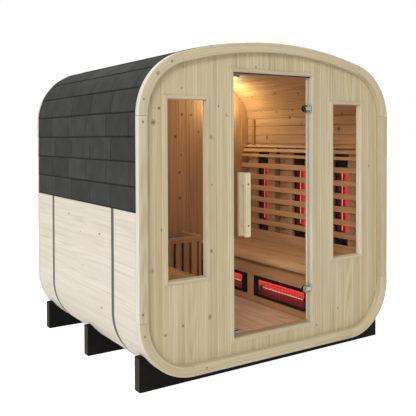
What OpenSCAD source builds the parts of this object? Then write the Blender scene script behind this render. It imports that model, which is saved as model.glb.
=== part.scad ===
// Cube sauna: a round-cornered timber cabin of horizontal staves on three cradles,
// with a glass door and two windows in its front wall, an infrared backrest and benches.
// Millimetres. X runs along the front, -Y is the front, Z is up from the ground.

/* [Cabin] */
// Width over the staves
body_w = 2100; // [1900:10:2600]
// Depth from the front ring's face to the rear ring's face
body_d = 1780; // [1500:10:2600]
// Height of the cabin from its underside to the crown of the roof
body_h = 2084; // [2040:1:2200]
// Height of the underside above the ground
ground_gap = 56; // [40:1:90]
// Height above the underside at which the straight sides end
side_h = 1592; // [1500:1:1640]
// Radius of the two lower corners
low_corner_r = 378; // [300:1:420]
// Radius of the two upper corners
high_corner_r = 402; // [340:1:430]
// Thickness of the staves
stave_t = 40; // [28:1:48]

/* [Rings and bands] */
// Width of a ring's face, which covers the stave ends
ring_w = 62; // [50:1:90]
// Thickness of a ring
ring_t = 47; // [30:1:60]
// Width of a steel band
band_w = 36; // [20:1:50]
// Thickness of a steel band
band_t = 1.2; // [0.8:0.1:2]
// Distance of a band's middle from the nearer end of the cabin
band_inset = 361; // [200:1:500]

/* [Cradles] */
// Length of a cradle
cradle_l = 2026; // [1700:2:2080]
// Thickness of a cradle
cradle_t = 68; // [45:1:90]
// Height of a cradle's ends
cradle_h = 208; // [150:1:260]
// Distance of an outer cradle from the end of the cabin
cradle_inset = 75; // [50:1:200]

/* [Roofing] */
// Height above the ground of the lowest shingles' edge
eave_z = 1080; // [900:1:1200]
// Length of each course that shows
course = 147; // [120:1:160]
// Thickness of the roofing at a course's lower edge
course_butt = 5; // [4:0.5:10]
// Thickness of the roofing just above a course's lower edge
course_head = 3; // [3:0.5:5]
// How far the roofing laps onto each ring
ring_lap = 8; // [0:1:20]
// Width of the cap over the crown
ridge_w = 290; // [200:10:400]

/* [Walls] */
// Thickness of the front and back walls
wall_t = 40; // [28:1:60]
// How far frames stand in front of the wall
frame_proud = 10; // [6:1:15]
// Distance of the door and windows to the right of the cabin's middle
front_shift = -12; // [-30:1:30]

/* [Door] */
// Width of the door opening
door_w = 672; // [560:2:720]
// Height of the door opening
door_h = 1722; // [1500:1:1740]
// Height of the sill above the ground
sill_z = 218; // [200:1:260]
// Width of the door frame's face
door_frame_w = 24; // [20:1:60]
// Width of the stop behind the glass
stop_w = 16; // [10:1:20]
// Thickness of the door glass
glass_t = 8; // [6:1:10]
// Gap round the door glass
glass_gap = 5; // [5:0.5:8]
// Depth of the glass behind the face of the frame
glass_recess = 23; // [20:1:26]
// Height of the lower hinge above the ground
hinge_low_z = 457; // [380:1:600]
// Height of the upper hinge above the ground
hinge_high_z = 1717; // [1400:1:1760]
// Radius of a hinge's clamp disc
clamp_r = 24; // [18:1:25]

/* [Handle] */
// Width of a handle bar
bar_w = 38; // [25:1:45]
// Thickness of a handle bar
bar_t = 27; // [15:1:28]
// Length of a handle bar
bar_l = 419; // [300:1:600]
// Height of a handle bar's lower end above the ground
bar_z = 870; // [700:1:1000]
// Gap between a handle bar and the glass
bar_gap = 17; // [12:1:30]

/* [Windows] */
// Width of the glass that shows
win_w = 284; // [180:1:320]
// Height of the glass that shows
win_h = 1108; // [600:1:1120]
// Height of the glass above the ground
win_z = 646; // [600:1:900]
// Distance of a window's middle from the door's middle
win_x = 681; // [660:1:700]
// Width of a window frame's face
win_frame_w = 20; // [16:1:40]
// Thickness of a window pane
pane_t = 10; // [4:1:16]

/* [Floor and benches] */
// Height of the floor above the ground
floor_z = 170; // [150:1:190]
// Width of a floor board
floor_board_w = 88; // [60:1:120]
// Height of a seat above the ground
seat_z = 564; // [500:1:620]
// Distance of a seat's front edge from the cabin's middle
seat_front = 387; // [350:1:450]
// Thickness of a seat board
seat_t = 28; // [20:1:40]
// Height of a seat's front edge
nosing_h = 45; // [30:1:70]
// Number of boards in a seat behind the front edge
seat_boards = 6; // [4:1:8]
// Distance of the skirt behind a seat's front edge
skirt_back = 43; // [30:1:80]

/* [Infrared heating] */
// Distance of the backrest's front from the wall
rest_depth = 80; // [70:1:110]
// Height of the backrest above the ground
rest_top = 1443; // [1380:1:1500]
// Height above the ground at which the backrest starts to curve back
rest_bend_z = 1295; // [1270:1:1330]
// Radius of the backrest's curve
rest_bend_r = 260; // [220:1:400]
// Distance between the emitters' middles
emitter_pitch = 500; // [440:1:520]
// Width of an emitter
emitter_w = 160; // [120:1:180]
// Length of a heater in the skirt
skirt_heater_l = 680; // [500:1:720]
// Height of a heater in the skirt
skirt_heater_h = 165; // [120:1:200]

/* [Heater] */
// Width of the guard round the heater
guard_w = 530; // [440:1:560]
// Depth of the guard
guard_d = 309; // [260:1:360]
// Height of the guard above the ground
guard_z = 663; // [600:1:800]
// Width of a slot in the guard
slot_w = 24; // [15:1:30]
// Distance between slots
slot_pitch = 77; // [60:1:90]

/* [Hidden] */
$fn = 360;

// Clearance between a piece and the curved or fitted piece that holds it
fit = 0.3;
// Ends and levels of the cabin
half_w = body_w / 2;
half_d = body_d / 2;
base_z = ground_gap;
low_z = base_z + low_corner_r;
high_z = base_z + side_h;
crown_z = base_z + body_h;
low_x = half_w - low_corner_r;
high_x = half_w - high_corner_r;
// The crown's arc runs tangent into the two upper corner arcs
rise = crown_z - high_z;
crown_sq = rise * rise + high_x * high_x - high_corner_r * high_corner_r;
crown_r = round(50 * crown_sq / (rise - high_corner_r)) / 100;
crown_cz = crown_z - crown_r;
crown_a = acos(high_x / (crown_r - high_corner_r));
// Inside of the cabin
in_x = half_w - stave_t;
wall_front = -half_d + ring_t;
room_front = wall_front + wall_t;
room_back = half_d - ring_t - wall_t;
room_mid = (room_front + room_back) / 2;
room_d = room_back - room_front;
frame_front = wall_front - frame_proud;
// Door leaf
glass_front = frame_front + glass_recess;
glass_back = glass_front + glass_t;
stop_front = glass_back + glass_gap;
glass_x0 = -door_w / 2 + glass_gap + 1;
glass_x1 = door_w / 2 - glass_gap - 5;
head_gap = 8;
sill_top = sill_z;
head_z = sill_z + door_h;
pin_x = door_w / 2 - 10;
pin_y = frame_front + 6;
pin_r = 2.5;
knuckle_r = 7;
knuckle_h = 25;
running = 0.06;
handle_x = -door_w / 2 + 100;
// Seats and skirts
skirt_x = seat_front + skirt_back;
skirt_t = 20;
wood_gap = 4;
// Backrest
rest_x = in_x - rest_depth;
rail_t = 20;
rail_h = 45;
rail_pitch = 104;
rib_w = (emitter_pitch - emitter_w) / 2 - 72;
rest_cx = rest_x + rest_bend_r;

pine = "#D9C7A0";
cream = "#E4D8BC";
spruce = "#B07B4A";
black = "#1B1A17";
slate = "#474845";
steel = "#A9ABAC";
red = "#C83240";

// ---- Sections in the X-Z plane ----

// A far point in the direction a, on a grid of a hundredth so that neighbours share it
function far_point(a, f = 1000) = [round(100 * f * cos(a)) / 100, round(100 * f * sin(a)) / 100];

// Sector of a circle from angle a0 to angle a1
module sector(cx, cz, r, a0, a1) {
  f = r > 900 ? 4000 : 1000;
  translate([cx, cz]) intersection() {
    circle(r);
    polygon([[0, 0], far_point(a0, f), far_point((a0 + a1) / 2, 2 * f), far_point(a1, f)]);
  }
}

// Part of a round band that is t thick, from angle a0 to angle a1
module band_sector(cx, cz, r, t, a0, a1) {
  difference() {
    sector(cx, cz, r, a0, a1);
    translate([cx, cz]) circle(r - t);
  }
}

// Everything over the crown's arc, between the planes where it meets the corners' arcs
module crown_part() {
  p = far_point(crown_a);
  intersection() {
    children();
    polygon([[-high_x, high_z], [high_x, high_z],
      [high_x + p[0], high_z + p[1]], [-high_x - p[0], high_z + p[1]]]);
  }
}

// Whole section of the cabin, with its edge moved in by inset
module outline(inset = 0) {
  translate([-half_w + inset, low_z]) square([body_w - 2 * inset, high_z - low_z]);
  translate([-low_x, base_z + inset]) square([2 * low_x, low_corner_r - inset]);
  sector(low_x, low_z, low_corner_r - inset, -90, 0);
  sector(-low_x, low_z, low_corner_r - inset, 180, 270);
  sector(high_x, high_z, high_corner_r - inset, 0, crown_a);
  sector(-high_x, high_z, high_corner_r - inset, 180 - crown_a, 180);
  crown_part() translate([0, crown_cz]) circle(crown_r - inset, $fn = 1440);
}

// The hoop of the section that is t thick, by its parts
module hoop_sides(t) {
  for (s = [-1, 1]) translate([s > 0 ? half_w - t : -half_w, low_z]) square([t, high_z - low_z]);
}
module hoop_floor(t) {
  translate([-low_x, base_z]) square([2 * low_x, t]);
}
module hoop_corners_low(t) {
  band_sector(low_x, low_z, low_corner_r, t, -90, 0);
  band_sector(-low_x, low_z, low_corner_r, t, 180, 270);
}
module hoop_corners_high(t) {
  band_sector(high_x, high_z, high_corner_r, t, 0, crown_a);
  band_sector(-high_x, high_z, high_corner_r, t, 180 - crown_a, 180);
}
module hoop_roof(t) {
  crown_part() translate([0, crown_cz]) difference() {
    circle(crown_r, $fn = 1440);
    circle(crown_r - t, $fn = 1440);
  }
}

// Extrude a section along Y between two places
module along_y(y0, y1) {
  translate([0, y1, 0]) rotate([90, 0, 0]) linear_extrude(y1 - y0) children();
}

// ---- Cradles ----

// A plank on edge, hollowed to the cabin's underside
module cradle(y) {
  color(black) along_y(y, y + cradle_t) difference() {
    translate([-cradle_l / 2, 0]) square([cradle_l, cradle_h]);
    outline();
  }
}

// ---- Shell of staves ----

module shell_y() {
  color(cream) along_y(-half_d + ring_t, half_d - ring_t) children();
}

// ---- Rings ----

module ring_y(side) {
  y = side < 0 ? -half_d : half_d - ring_t;
  color(pine) along_y(y, y + ring_t) children();
}
module ring_rails(side) {
  ring_y(side) {
    hoop_floor(ring_w);
    hoop_roof(ring_w);
  }
}
module ring_sides(side) {
  ring_y(side) hoop_sides(ring_w);
}
module ring_corners(side) {
  ring_y(side) {
    hoop_corners_low(ring_w);
    hoop_corners_high(ring_w);
  }
}

// ---- Walls ----

module wall_section() {
  outline(stave_t + fit);
}

// One side of the front wall, with its window cut through
module front_wall_side(side) {
  x0 = door_w / 2 + door_frame_w + side * front_shift;
  color(pine) along_y(wall_front, room_front) difference() {
    intersection() {
      wall_section();
      translate([side > 0 ? x0 : -half_w, 0]) square([half_w - x0, crown_z]);
    }
    translate([front_shift + side * win_x - win_w / 2 - win_frame_w, win_z - win_frame_w])
      square([win_w + 2 * win_frame_w, win_h + 2 * win_frame_w]);
  }
}

// Front wall between the jambs, from z0 to z1
module front_wall_middle(z0, z1) {
  x0 = door_w / 2 + door_frame_w;
  color(pine) along_y(wall_front, room_front) intersection() {
    wall_section();
    translate([front_shift - x0, z0]) square([2 * x0, z1 - z0]);
  }
}

module back_wall() {
  color(pine) along_y(room_back, room_back + wall_t) wall_section();
}

// ---- Door frame ----

// Section of the frame across its length: x runs away from the opening, y into the room
module frame_profile() {
  polygon([[0, frame_front], [door_frame_w, frame_front], [door_frame_w, room_front],
    [-stop_w, room_front], [-stop_w, stop_front], [0, stop_front]]);
}

module door_jambs() {
  z0 = sill_z - door_frame_w;
  h = door_h + 2 * door_frame_w;
  color(pine) translate([front_shift, 0, z0]) for (s = [0, 1]) mirror([s, 0, 0])
    translate([door_w / 2, 0, 0]) linear_extrude(h) frame_profile();
}

// Head or sill between the jambs: up is 1 for the head and -1 for the sill
module door_rail(z, up) {
  z0 = up > 0 ? z : z - door_frame_w;
  lip_z = up > 0 ? z - stop_w : z;
  color(pine) translate([front_shift, 0, 0]) {
    translate([-door_w / 2, frame_front, z0]) cube([door_w, stop_front - frame_front, door_frame_w]);
    translate([-door_w / 2 + stop_w, stop_front, z0])
      cube([door_w - 2 * stop_w, room_front - stop_front, door_frame_w]);
    translate([-door_w / 2 + stop_w, stop_front, lip_z])
      cube([door_w - 2 * stop_w, room_front - stop_front, stop_w]);
  }
}

// ---- Windows ----

pane_in = 6;
pane_y = room_front - 5 - pane_t;

// A box round the middle of a window, from y0 to y1
module window_box(side, w, h, y0, y1) {
  translate([front_shift + side * win_x - w / 2, y0, win_z + win_h / 2 - h / 2])
    cube([w, y1 - y0, h]);
}
module window_frame(side) {
  color(pine) difference() {
    window_box(side, win_w + 2 * win_frame_w, win_h + 2 * win_frame_w, frame_front, room_front);
    window_box(side, win_w, win_h, frame_front - 1, room_front + 1);
    window_box(side, win_w + 2 * (pane_in + fit), win_h + 2 * (pane_in + fit),
      pane_y - fit, pane_y + pane_t + fit);
  }
}
module window_pane(side) {
  color("lightblue", 0.4)
    window_box(side, win_w + 2 * pane_in, win_h + 2 * pane_in, pane_y, pane_y + pane_t);
}

// ---- Bands and roofing ----

module steel_bands() {
  color(steel) for (s = [-1, 1]) translate([0, s * (half_d - band_inset), 0])
    along_y(-band_w / 2, band_w / 2) difference() {
      outline(-band_t);
      outline();
    }
}

// Lengths along the section from the eave: end of the side, end of the corner, crown
side_len = high_z - eave_z;
corner_len = high_corner_r * crown_a * PI / 180;
crown_len = crown_r * (90 - crown_a) * PI / 180;
roof_len = side_len + corner_len + crown_len;

// Angle of the section's normal, and the point on the section, at length s from the eave
function normal_a(s) = s <= side_len ? 0
  : s <= side_len + corner_len ? (s - side_len) / high_corner_r * 180 / PI
  : crown_a + (s - side_len - corner_len) / crown_r * 180 / PI;
function roof_point(s, t) = let (a = normal_a(s), n = [cos(a), sin(a)])
  s <= side_len ? [half_w, eave_z + s] + t * n
  : s <= side_len + corner_len ? [high_x, high_z] + (high_corner_r + t) * n
  : [0, crown_cz] + (crown_r + t) * n;

// Lapped courses from the eave to the ridge cap, which stand on the section
module roofing_section() {
  last = roof_len - ridge_w / 2;
  steps = 6;
  outer = [for (s0 = [0 : course : last], i = [0 : steps])
    let (s = min(last, s0 + course * i / steps), t = course_butt + (course_head - course_butt) * i / steps)
    roof_point(s, t)];
  inner = [for (i = [72 : -1 : 0]) roof_point(last * i / 72, fit)];
  polygon(concat(outer, inner));
}

// Cut a channel for each steel band out of the roofing that lies over it
module over_bands() {
  difference() {
    along_y(-half_d + ring_t - ring_lap, half_d - ring_t + ring_lap) children();
    for (s = [-1, 1]) translate([0, s * (half_d - band_inset), 0])
      along_y(-band_w / 2 - 1, band_w / 2 + 1) outline(-band_t - fit);
  }
}
module roofing(side) {
  color(slate) mirror([side < 0 ? 1 : 0, 0, 0]) over_bands() roofing_section();
}
module ridge_cap() {
  half_a = (ridge_w / 2 - fit) / crown_r * 180 / PI;
  color(slate) over_bands()
    band_sector(0, crown_cz, crown_r + course_butt, course_butt, 90 - half_a, 90 + half_a, $fn = 1440);
}

// ---- Floor and benches ----

joist_h = floor_z - base_z - stave_t - seat_t;
module floor_deck() {
  pitch = floor_board_w + wood_gap;
  n = 2 * (floor((low_x - 20) / pitch) + 1);
  color(spruce) {
    for (i = [0 : n - 1]) translate([(i - n / 2) * pitch + wood_gap / 2, room_front + 2, floor_z - seat_t])
      cube([floor_board_w, room_d - 4, seat_t]);
    for (k = [-1, 0, 1]) translate([-low_x, room_mid + k * room_d * 0.4 - 30, base_z + stave_t])
      cube([2 * low_x, 60, joist_h]);
  }
}

// Seat on the right: front edge, boards, cross bearers and a ledger on the wall
module bench() {
  y0 = room_front + 2;
  len = room_d - 4;
  back = in_x - fit;
  deck_w = back - seat_front - seat_t;
  pitch = deck_w / seat_boards;
  under = seat_z - seat_t;
  color(spruce) {
    translate([seat_front, y0, seat_z - nosing_h]) cube([seat_t, len, nosing_h]);
    for (i = [0 : seat_boards - 1])
      translate([seat_front + seat_t + i * pitch + wood_gap, y0, under])
        cube([pitch - wood_gap, len, seat_t]);
    for (k = [0 : 3]) translate([seat_front + seat_t - 1, y0 + 60 + k * (len - 160) / 3, under - nosing_h])
      difference() {
        cube([back - seat_front - seat_t + 1, 40, nosing_h]);
        translate([-1, -1, -1]) cube([skirt_back - seat_t + skirt_t + 2, 42, nosing_h - 19]);
      }
    translate([back - 40, y0, under - nosing_h]) cube([40, len, nosing_h]);
  }
}

// Panel under a seat, with or without the openings for two heaters
module skirt(openings) {
  y0 = room_front + 2;
  color(spruce) difference() {
    translate([skirt_x, y0, floor_z]) cube([skirt_t, room_d - 4, seat_z - seat_t - 20 - floor_z]);
    if (openings) for (s = [-1, 1])
      translate([skirt_x - 1, room_mid + s * heater_off, heater_mid])
        translate([0, -heater_box_l / 2 - fit, -heater_box_h / 2 - fit])
          cube([skirt_t + 2, heater_box_l + 2 * fit, heater_box_h + 2 * fit]);
  }
}

// ---- Infrared heating ----

heater_off = skirt_heater_l / 2 + 46;
heater_mid = 313;
heater_box_l = skirt_heater_l - 30;
heater_box_h = skirt_heater_h - 30;
trough_l = skirt_heater_l - 184;
trough_r = heater_box_h / 2 - 10;

// Two heaters: a flange on the skirt, a trough with a round bottom, and a tube along it
module skirt_heaters() {
  depth = trough_r + 12;
  for (s = [-1, 1]) translate([skirt_x, room_mid + s * heater_off, heater_mid]) color(black) {
    difference() {
      union() {
        translate([-6, -skirt_heater_l / 2, -skirt_heater_h / 2]) cube([6, skirt_heater_l, skirt_heater_h]);
        translate([0, -heater_box_l / 2, -heater_box_h / 2]) cube([depth, heater_box_l, heater_box_h]);
      }
      translate([-6, trough_l / 2, 0]) rotate([90, 0, 0]) cylinder(r = trough_r, h = trough_l, $fn = 64);
    }
    translate([14, trough_l / 2 + 5, 0]) rotate([90, 0, 0]) cylinder(r = 6, h = trough_l + 10, $fn = 32);
  }
}

// Front of the backrest at depth t behind its face: straight below the bend, round above it
module rest_section(t0, t1, top) {
  difference() {
    union() {
      translate([rest_x + t0, seat_z]) square([in_x - fit - rest_x - t0, rest_bend_z - seat_z]);
      intersection() {
        translate([rest_cx, rest_bend_z]) circle(rest_bend_r - t0);
        translate([rest_x, rest_bend_z]) square([in_x - fit - rest_x, top - rest_bend_z]);
      }
    }
    translate([rest_x + t1, seat_z - 1]) square([in_x, t1 < rest_depth ? rest_bend_z - seat_z + 1 : 0.001]);
    translate([rest_cx, rest_bend_z]) circle(max(1, t1 < rest_depth ? rest_bend_r - t1 : 1));
  }
}

// Levels of the rails: lower board, six even rails, and three narrower ones up the bend
rail_levels = concat([[seat_z, seat_z + 92]],
  [for (i = [0 : 5]) [rest_bend_z - 64.5 - i * rail_pitch, rest_bend_z - 64.5 - i * rail_pitch + rail_h]],
  [[rest_bend_z + 38, rest_bend_z + 65], [rest_bend_z + 86, rest_bend_z + 116], [rest_top - 19, rest_top]]);

module backrest_rails() {
  color(spruce) along_y(room_front + 2, room_back - 2) for (z = rail_levels)
    intersection() {
      rest_section(0, rail_t, rest_top);
      translate([0, z[0]]) square([half_w, z[1] - z[0]]);
    }
}
module backrest_ribs() {
  color(spruce) for (e = [-1, 0, 1], s = [-1, 1]) {
    y = room_mid + e * emitter_pitch + s * (emitter_w + rib_w) / 2;
    along_y(y - rib_w / 2, y + rib_w / 2) rest_section(rail_t + fit, rest_depth + 1, rest_top);
  }
}

// Three upright emitters between the ribs: a casing with an open trough and two tubes
module infrared_emitters() {
  z0 = seat_z + 76;
  h = rest_bend_z + 95 - z0;
  x0 = rest_x + 42;
  d = in_x - x0 - fit;
  w = emitter_w - 2 * fit;
  glow_z = rest_bend_z - 545 - z0;
  glow_h = 490;
  for (e = [-1, 0, 1]) translate([x0, room_mid + e * emitter_pitch - w / 2, z0]) color(black) {
    difference() {
      cube([d, w, h]);
      translate([-1, 12, glow_z]) cube([d - 5, w - 24, glow_h]);
    }
    for (y = [w / 2 - 28, w / 2 + 28]) translate([16, y, glow_z - 5])
      cylinder(r = 6, h = glow_h + 10, $fn = 32);
  }
}

// ---- Heater and its guard ----

guard_y = room_back - guard_d;
slot_low = floor_z + 60;
slot_top = guard_z - 47;

module heater_guard() {
  t = 20;
  slots = floor((guard_w / 2 - t - slot_w / 2) / slot_pitch);
  color(spruce) difference() {
    translate([-guard_w / 2, guard_y, floor_z]) cube([guard_w, guard_d, guard_z - floor_z]);
    translate([-guard_w / 2 + t, guard_y + t, floor_z - 1])
      cube([guard_w - 2 * t, guard_d, guard_z - floor_z + 2]);
    for (i = [-slots : slots]) translate([i * slot_pitch - slot_w / 2, guard_y - 1, slot_low])
      cube([slot_w, t + 2, slot_top - slot_low]);
    for (s = [-1, 1], i = [0 : 2])
      translate([s > 0 ? guard_w / 2 - t - 1 : -guard_w / 2 - 1, guard_y + 39 + i * slot_pitch, slot_low])
        cube([t + 2, slot_w, slot_top - slot_low]);
  }
}

heater_w = 350;
heater_d = 230;
heater_z = floor_z + 30;
heater_h = 420;
module sauna_heater() {
  y0 = guard_y + 50;
  t = 4;
  tray_z = heater_z + heater_h - 60;
  color(steel) {
    difference() {
      translate([-heater_w / 2, y0, heater_z]) cube([heater_w, heater_d, heater_h]);
      translate([-heater_w / 2 + t, y0 + t, tray_z]) cube([heater_w - 2 * t, heater_d - 2 * t, 61]);
      translate([-heater_w / 2 + t, y0 + t, heater_z - 1])
        cube([heater_w - 2 * t, heater_d - 2 * t, tray_z - t - heater_z + 1]);
    }
    for (x = [-heater_w / 2, heater_w / 2 - 22], y = [y0, y0 + heater_d - 22])
      translate([x, y, floor_z]) cube([22, 22, 32]);
  }
}
module heater_stones() {
  z0 = heater_z + heater_h - 60;
  w = heater_w / 2 - 4 - fit;
  color("#6B6762") translate([0, guard_y + 54 + fit, 0])
    translate([0, heater_d - 8 - 2 * fit, 0]) rotate([90, 0, 0]) linear_extrude(heater_d - 8 - 2 * fit)
      polygon([[-w, z0], [w, z0], [w, z0 + 60], [w - 50, z0 + 95], [-w + 50, z0 + 95], [-w, z0 + 60]]);
}

// ---- Lamp and cable strip ----

lamp_x = 650;
lamp_z = 1845;
module wall_lamp() {
  color("#F3E2B8") translate([lamp_x, room_back, lamp_z]) rotate([90, 0, 0]) {
    cylinder(r = 62, h = 22);
    translate([0, 0, 22]) cylinder(r = 50, h = 58);
  }
}
module cable_strip() {
  color(spruce) along_y(room_mid + 685, room_mid + 725) intersection() {
    translate([in_x - 12, rest_top + 1]) square([12, 247]);
    outline(stave_t + fit);
  }
}

// ---- Hinges and catches ----

hinge_zs = [hinge_low_z, hinge_high_z];

// Fixed half: a plate on the jamb, an arm and a knuckle at each end, and a pin through all
module hinge_brackets() {
  half = knuckle_h / 2;
  color(steel) for (z = hinge_zs) translate([front_shift, 0, z]) {
    for (z0 = [half + 0.5, -half - 12.5]) {
      translate([pin_x, pin_y, z0]) cylinder(r = knuckle_r, h = 12);
      translate([pin_x, pin_y - 4, z0]) cube([door_w / 2 - 1 - pin_x, 8, 12]);
    }
    translate([pin_x, pin_y, -half - 8]) cylinder(r = pin_r, h = 2 * half + 16, $fn = 96);
    translate([door_w / 2 - 2, frame_front + 1, -half - 12.5]) cube([2, glass_recess - 3, 2 * half + 25]);
  }
}

// Catches behind the free corners of the glass, under the head and on the sill
module door_catches() {
  x0 = front_shift - door_w / 2 + stop_w;
  color(steel) {
    translate([x0, stop_front, head_z - stop_w - 12]) cube([60, 14, 12]);
    translate([x0, stop_front, sill_z + stop_w]) cube([60, 14, 24]);
  }
}

// ---- Door leaf ----

module door_glass() {
  color("lightblue", 0.35)
    translate([front_shift + glass_x0, glass_front, sill_z + glass_gap])
      cube([glass_x1 - glass_x0, glass_t, door_h - glass_gap - head_gap]);
}

// Moving half: a disc on each face of the glass, and an arm from the outer one to the knuckle
module hinge_clamps() {
  cx = pin_x - 36;
  color(steel) for (z = hinge_zs) translate([front_shift, 0, z]) {
    translate([cx, glass_front, 0]) rotate([90, 0, 0]) cylinder(r = clamp_r, h = 9);
    translate([cx, glass_back + 8, 0]) rotate([90, 0, 0]) cylinder(r = clamp_r - 2, h = 8);
    translate([0, 0, -knuckle_h / 2]) linear_extrude(knuckle_h) difference() {
      union() {
        translate([pin_x, pin_y]) circle(knuckle_r);
        polygon([[cx, glass_front - 3], [cx, glass_front - 9], [pin_x - 3, pin_y - 6],
          [pin_x - 2, pin_y + 6], [cx + 16, glass_front - 3]]);
      }
      translate([pin_x, pin_y]) circle(pin_r + running, $fn = 96);
    }
  }
}

// A bar on two round spacers, on one face of the glass: into is -1 outside and 1 inside
module handle(into) {
  face = into < 0 ? glass_front : glass_back;
  y0 = into < 0 ? face - bar_gap - bar_t : face + bar_gap;
  color(cream) translate([front_shift + handle_x, 0, 0]) {
    translate([-bar_w / 2, y0, bar_z]) cube([bar_w, bar_t, bar_l]);
    for (z = [bar_z + 75, bar_z + bar_l - 75])
      translate([0, into < 0 ? face : face + bar_gap, z]) rotate([90, 0, 0])
        cylinder(r = 11, h = bar_gap, $fn = 48);
  }
}

cradle(-half_d + cradle_inset);  // cradle_front
cradle(-cradle_t / 2);  // cradle_middle
cradle(half_d - cradle_inset - cradle_t);  // cradle_rear
shell_y() hoop_floor(stave_t);  // shell_floor
shell_y() hoop_corners_low(stave_t);  // shell_corners_low
shell_y() hoop_sides(stave_t);  // shell_sides
shell_y() hoop_corners_high(stave_t);  // shell_corners_high
shell_y() hoop_roof(stave_t);  // shell_roof
ring_rails(-1);  // ring_front_rails
ring_sides(-1);  // ring_front_sides
ring_corners(-1);  // ring_front_corners
ring_rails(1);  // ring_rear_rails
ring_sides(1);  // ring_rear_sides
ring_corners(1);  // ring_rear_corners
front_wall_side(-1);  // front_wall_left
front_wall_side(1);  // front_wall_right
front_wall_middle(head_z + door_frame_w, crown_z);  // front_wall_over_door
front_wall_middle(base_z, sill_z - door_frame_w);  // front_wall_under_door
back_wall();
door_jambs();
door_rail(head_z, 1);  // door_head
door_rail(sill_z, -1);  // door_sill
window_frame(-1);  // window_frame_left
window_frame(1);  // window_frame_right
window_pane(-1);  // window_pane_left
window_pane(1);  // window_pane_right
steel_bands();
roofing(-1);  // roofing_left
roofing(1);  // roofing_right
ridge_cap();
floor_deck();
mirror([1, 0, 0]) bench();  // bench_left
bench();  // bench_right
mirror([1, 0, 0]) skirt(false);  // skirt_left
skirt(true);  // skirt_right
skirt_heaters();
backrest_ribs();
backrest_rails();
infrared_emitters();
heater_guard();
sauna_heater();
heater_stones();
wall_lamp();
cable_strip();
hinge_brackets();
door_catches();
door_glass();
hinge_clamps();
handle(-1);  // handle_outer
handle(1);  // handle_inner
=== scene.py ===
import math
import bpy
import numpy as np
from mathutils import Matrix


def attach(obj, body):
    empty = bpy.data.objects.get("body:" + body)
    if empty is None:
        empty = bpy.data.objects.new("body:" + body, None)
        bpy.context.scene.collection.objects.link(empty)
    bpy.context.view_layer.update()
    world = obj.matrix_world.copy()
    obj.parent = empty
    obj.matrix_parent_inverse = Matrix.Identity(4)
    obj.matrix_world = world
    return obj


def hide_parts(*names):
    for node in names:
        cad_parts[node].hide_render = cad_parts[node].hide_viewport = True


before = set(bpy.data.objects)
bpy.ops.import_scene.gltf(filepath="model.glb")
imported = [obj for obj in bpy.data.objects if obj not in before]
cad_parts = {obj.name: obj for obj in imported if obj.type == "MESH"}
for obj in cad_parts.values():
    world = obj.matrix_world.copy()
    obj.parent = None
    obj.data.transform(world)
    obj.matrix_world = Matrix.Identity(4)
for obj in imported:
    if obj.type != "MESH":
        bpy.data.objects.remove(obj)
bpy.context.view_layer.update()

mm = 0.001
# each axis with the two across it, in right-handed order
axisOrder = {"x": (0, 1, 2), "y": (1, 2, 0), "z": (2, 0, 1)}


def placed(name, data):
    # A new object in the scene that holds the data.
    made = bpy.data.objects.new(name, data)
    bpy.context.scene.collection.objects.link(made)
    return made


def addPiece(name, body, parts, material, replaces=(), sharp=18):
    # One mesh from several (points, faces, grain) parts, welded to nothing, riding on a body.
    points, faces, grain, start = [], [], [], 0
    for p, f, g in parts:
        points.append(p)
        grain.append(g)
        faces += [[i + start for i in face] for face in f]
        start += len(p)
    points = np.concatenate(points)
    grain = np.concatenate(grain)
    mesh = bpy.data.meshes.new(name)
    mesh.from_pydata(points.tolist(), [], faces)
    attribute = mesh.attributes.new("grain", "FLOAT_VECTOR", "POINT")
    attribute.data.foreach_set("vector", grain.astype(np.float32).ravel())
    mesh.materials.append(material)
    mesh.validate()
    mesh.set_sharp_from_angle(angle=math.radians(sharp))
    mesh.update()
    piece = placed(name, mesh)
    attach(piece, body)
    if replaces:
        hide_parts(*replaces)
    return piece


def addSheet(name, body, low, high, node):
    # A sheet of glass: its two large faces are clear and its narrow edges green.
    piece = addPiece(name, body, [bar(low, high, "z", 0.8 * mm)], clearGlass, [node])
    piece.data.materials.append(glassEdge)
    areas = np.zeros(len(piece.data.polygons), np.float32)
    piece.data.polygons.foreach_get("area", areas)
    piece.data.polygons.foreach_set("material_index", (areas < 0.1).astype(np.int32))
    return piece


def finishFaces(piece, finish, where):
    # Gives a second finish to the faces on which where(centres, normals) is positive.
    polygons = piece.data.polygons
    piece.data.materials.append(finish)
    count = len(polygons)
    centres, normals, index = np.zeros(3 * count, np.float32), np.zeros(3 * count, np.float32), np.zeros(count,
                                                                                                         np.int32)
    polygons.foreach_get("center", centres)
    polygons.foreach_get("normal", normals)
    polygons.foreach_get("material_index", index)
    index[where(centres.reshape(-1, 3), normals.reshape(-1, 3)) > 0] = len(piece.data.materials) - 1
    polygons.foreach_set("material_index", index)


def gridFaces(rows, columns, closedRows=False, closedColumns=True):
    # Quads of a rows x columns grid of points, which may close on itself either way.
    r = np.arange(rows if closedRows else rows - 1)
    c = np.arange(columns if closedColumns else columns - 1)
    r, c = np.meshgrid(r, c, indexing="ij")
    r2, c2 = (r + 1) % rows, (c + 1) % columns
    quads = np.stack([r * columns + c, r * columns + c2, r2 * columns + c2, r2 * columns + c], axis=-1)
    return quads.reshape(-1, 4).tolist()


def caps(rings, k):
    # The two end faces of a stack of rings with k points each.
    return [list(range(k))[::-1], [(rings - 1) * k + i for i in range(k)]]


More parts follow.
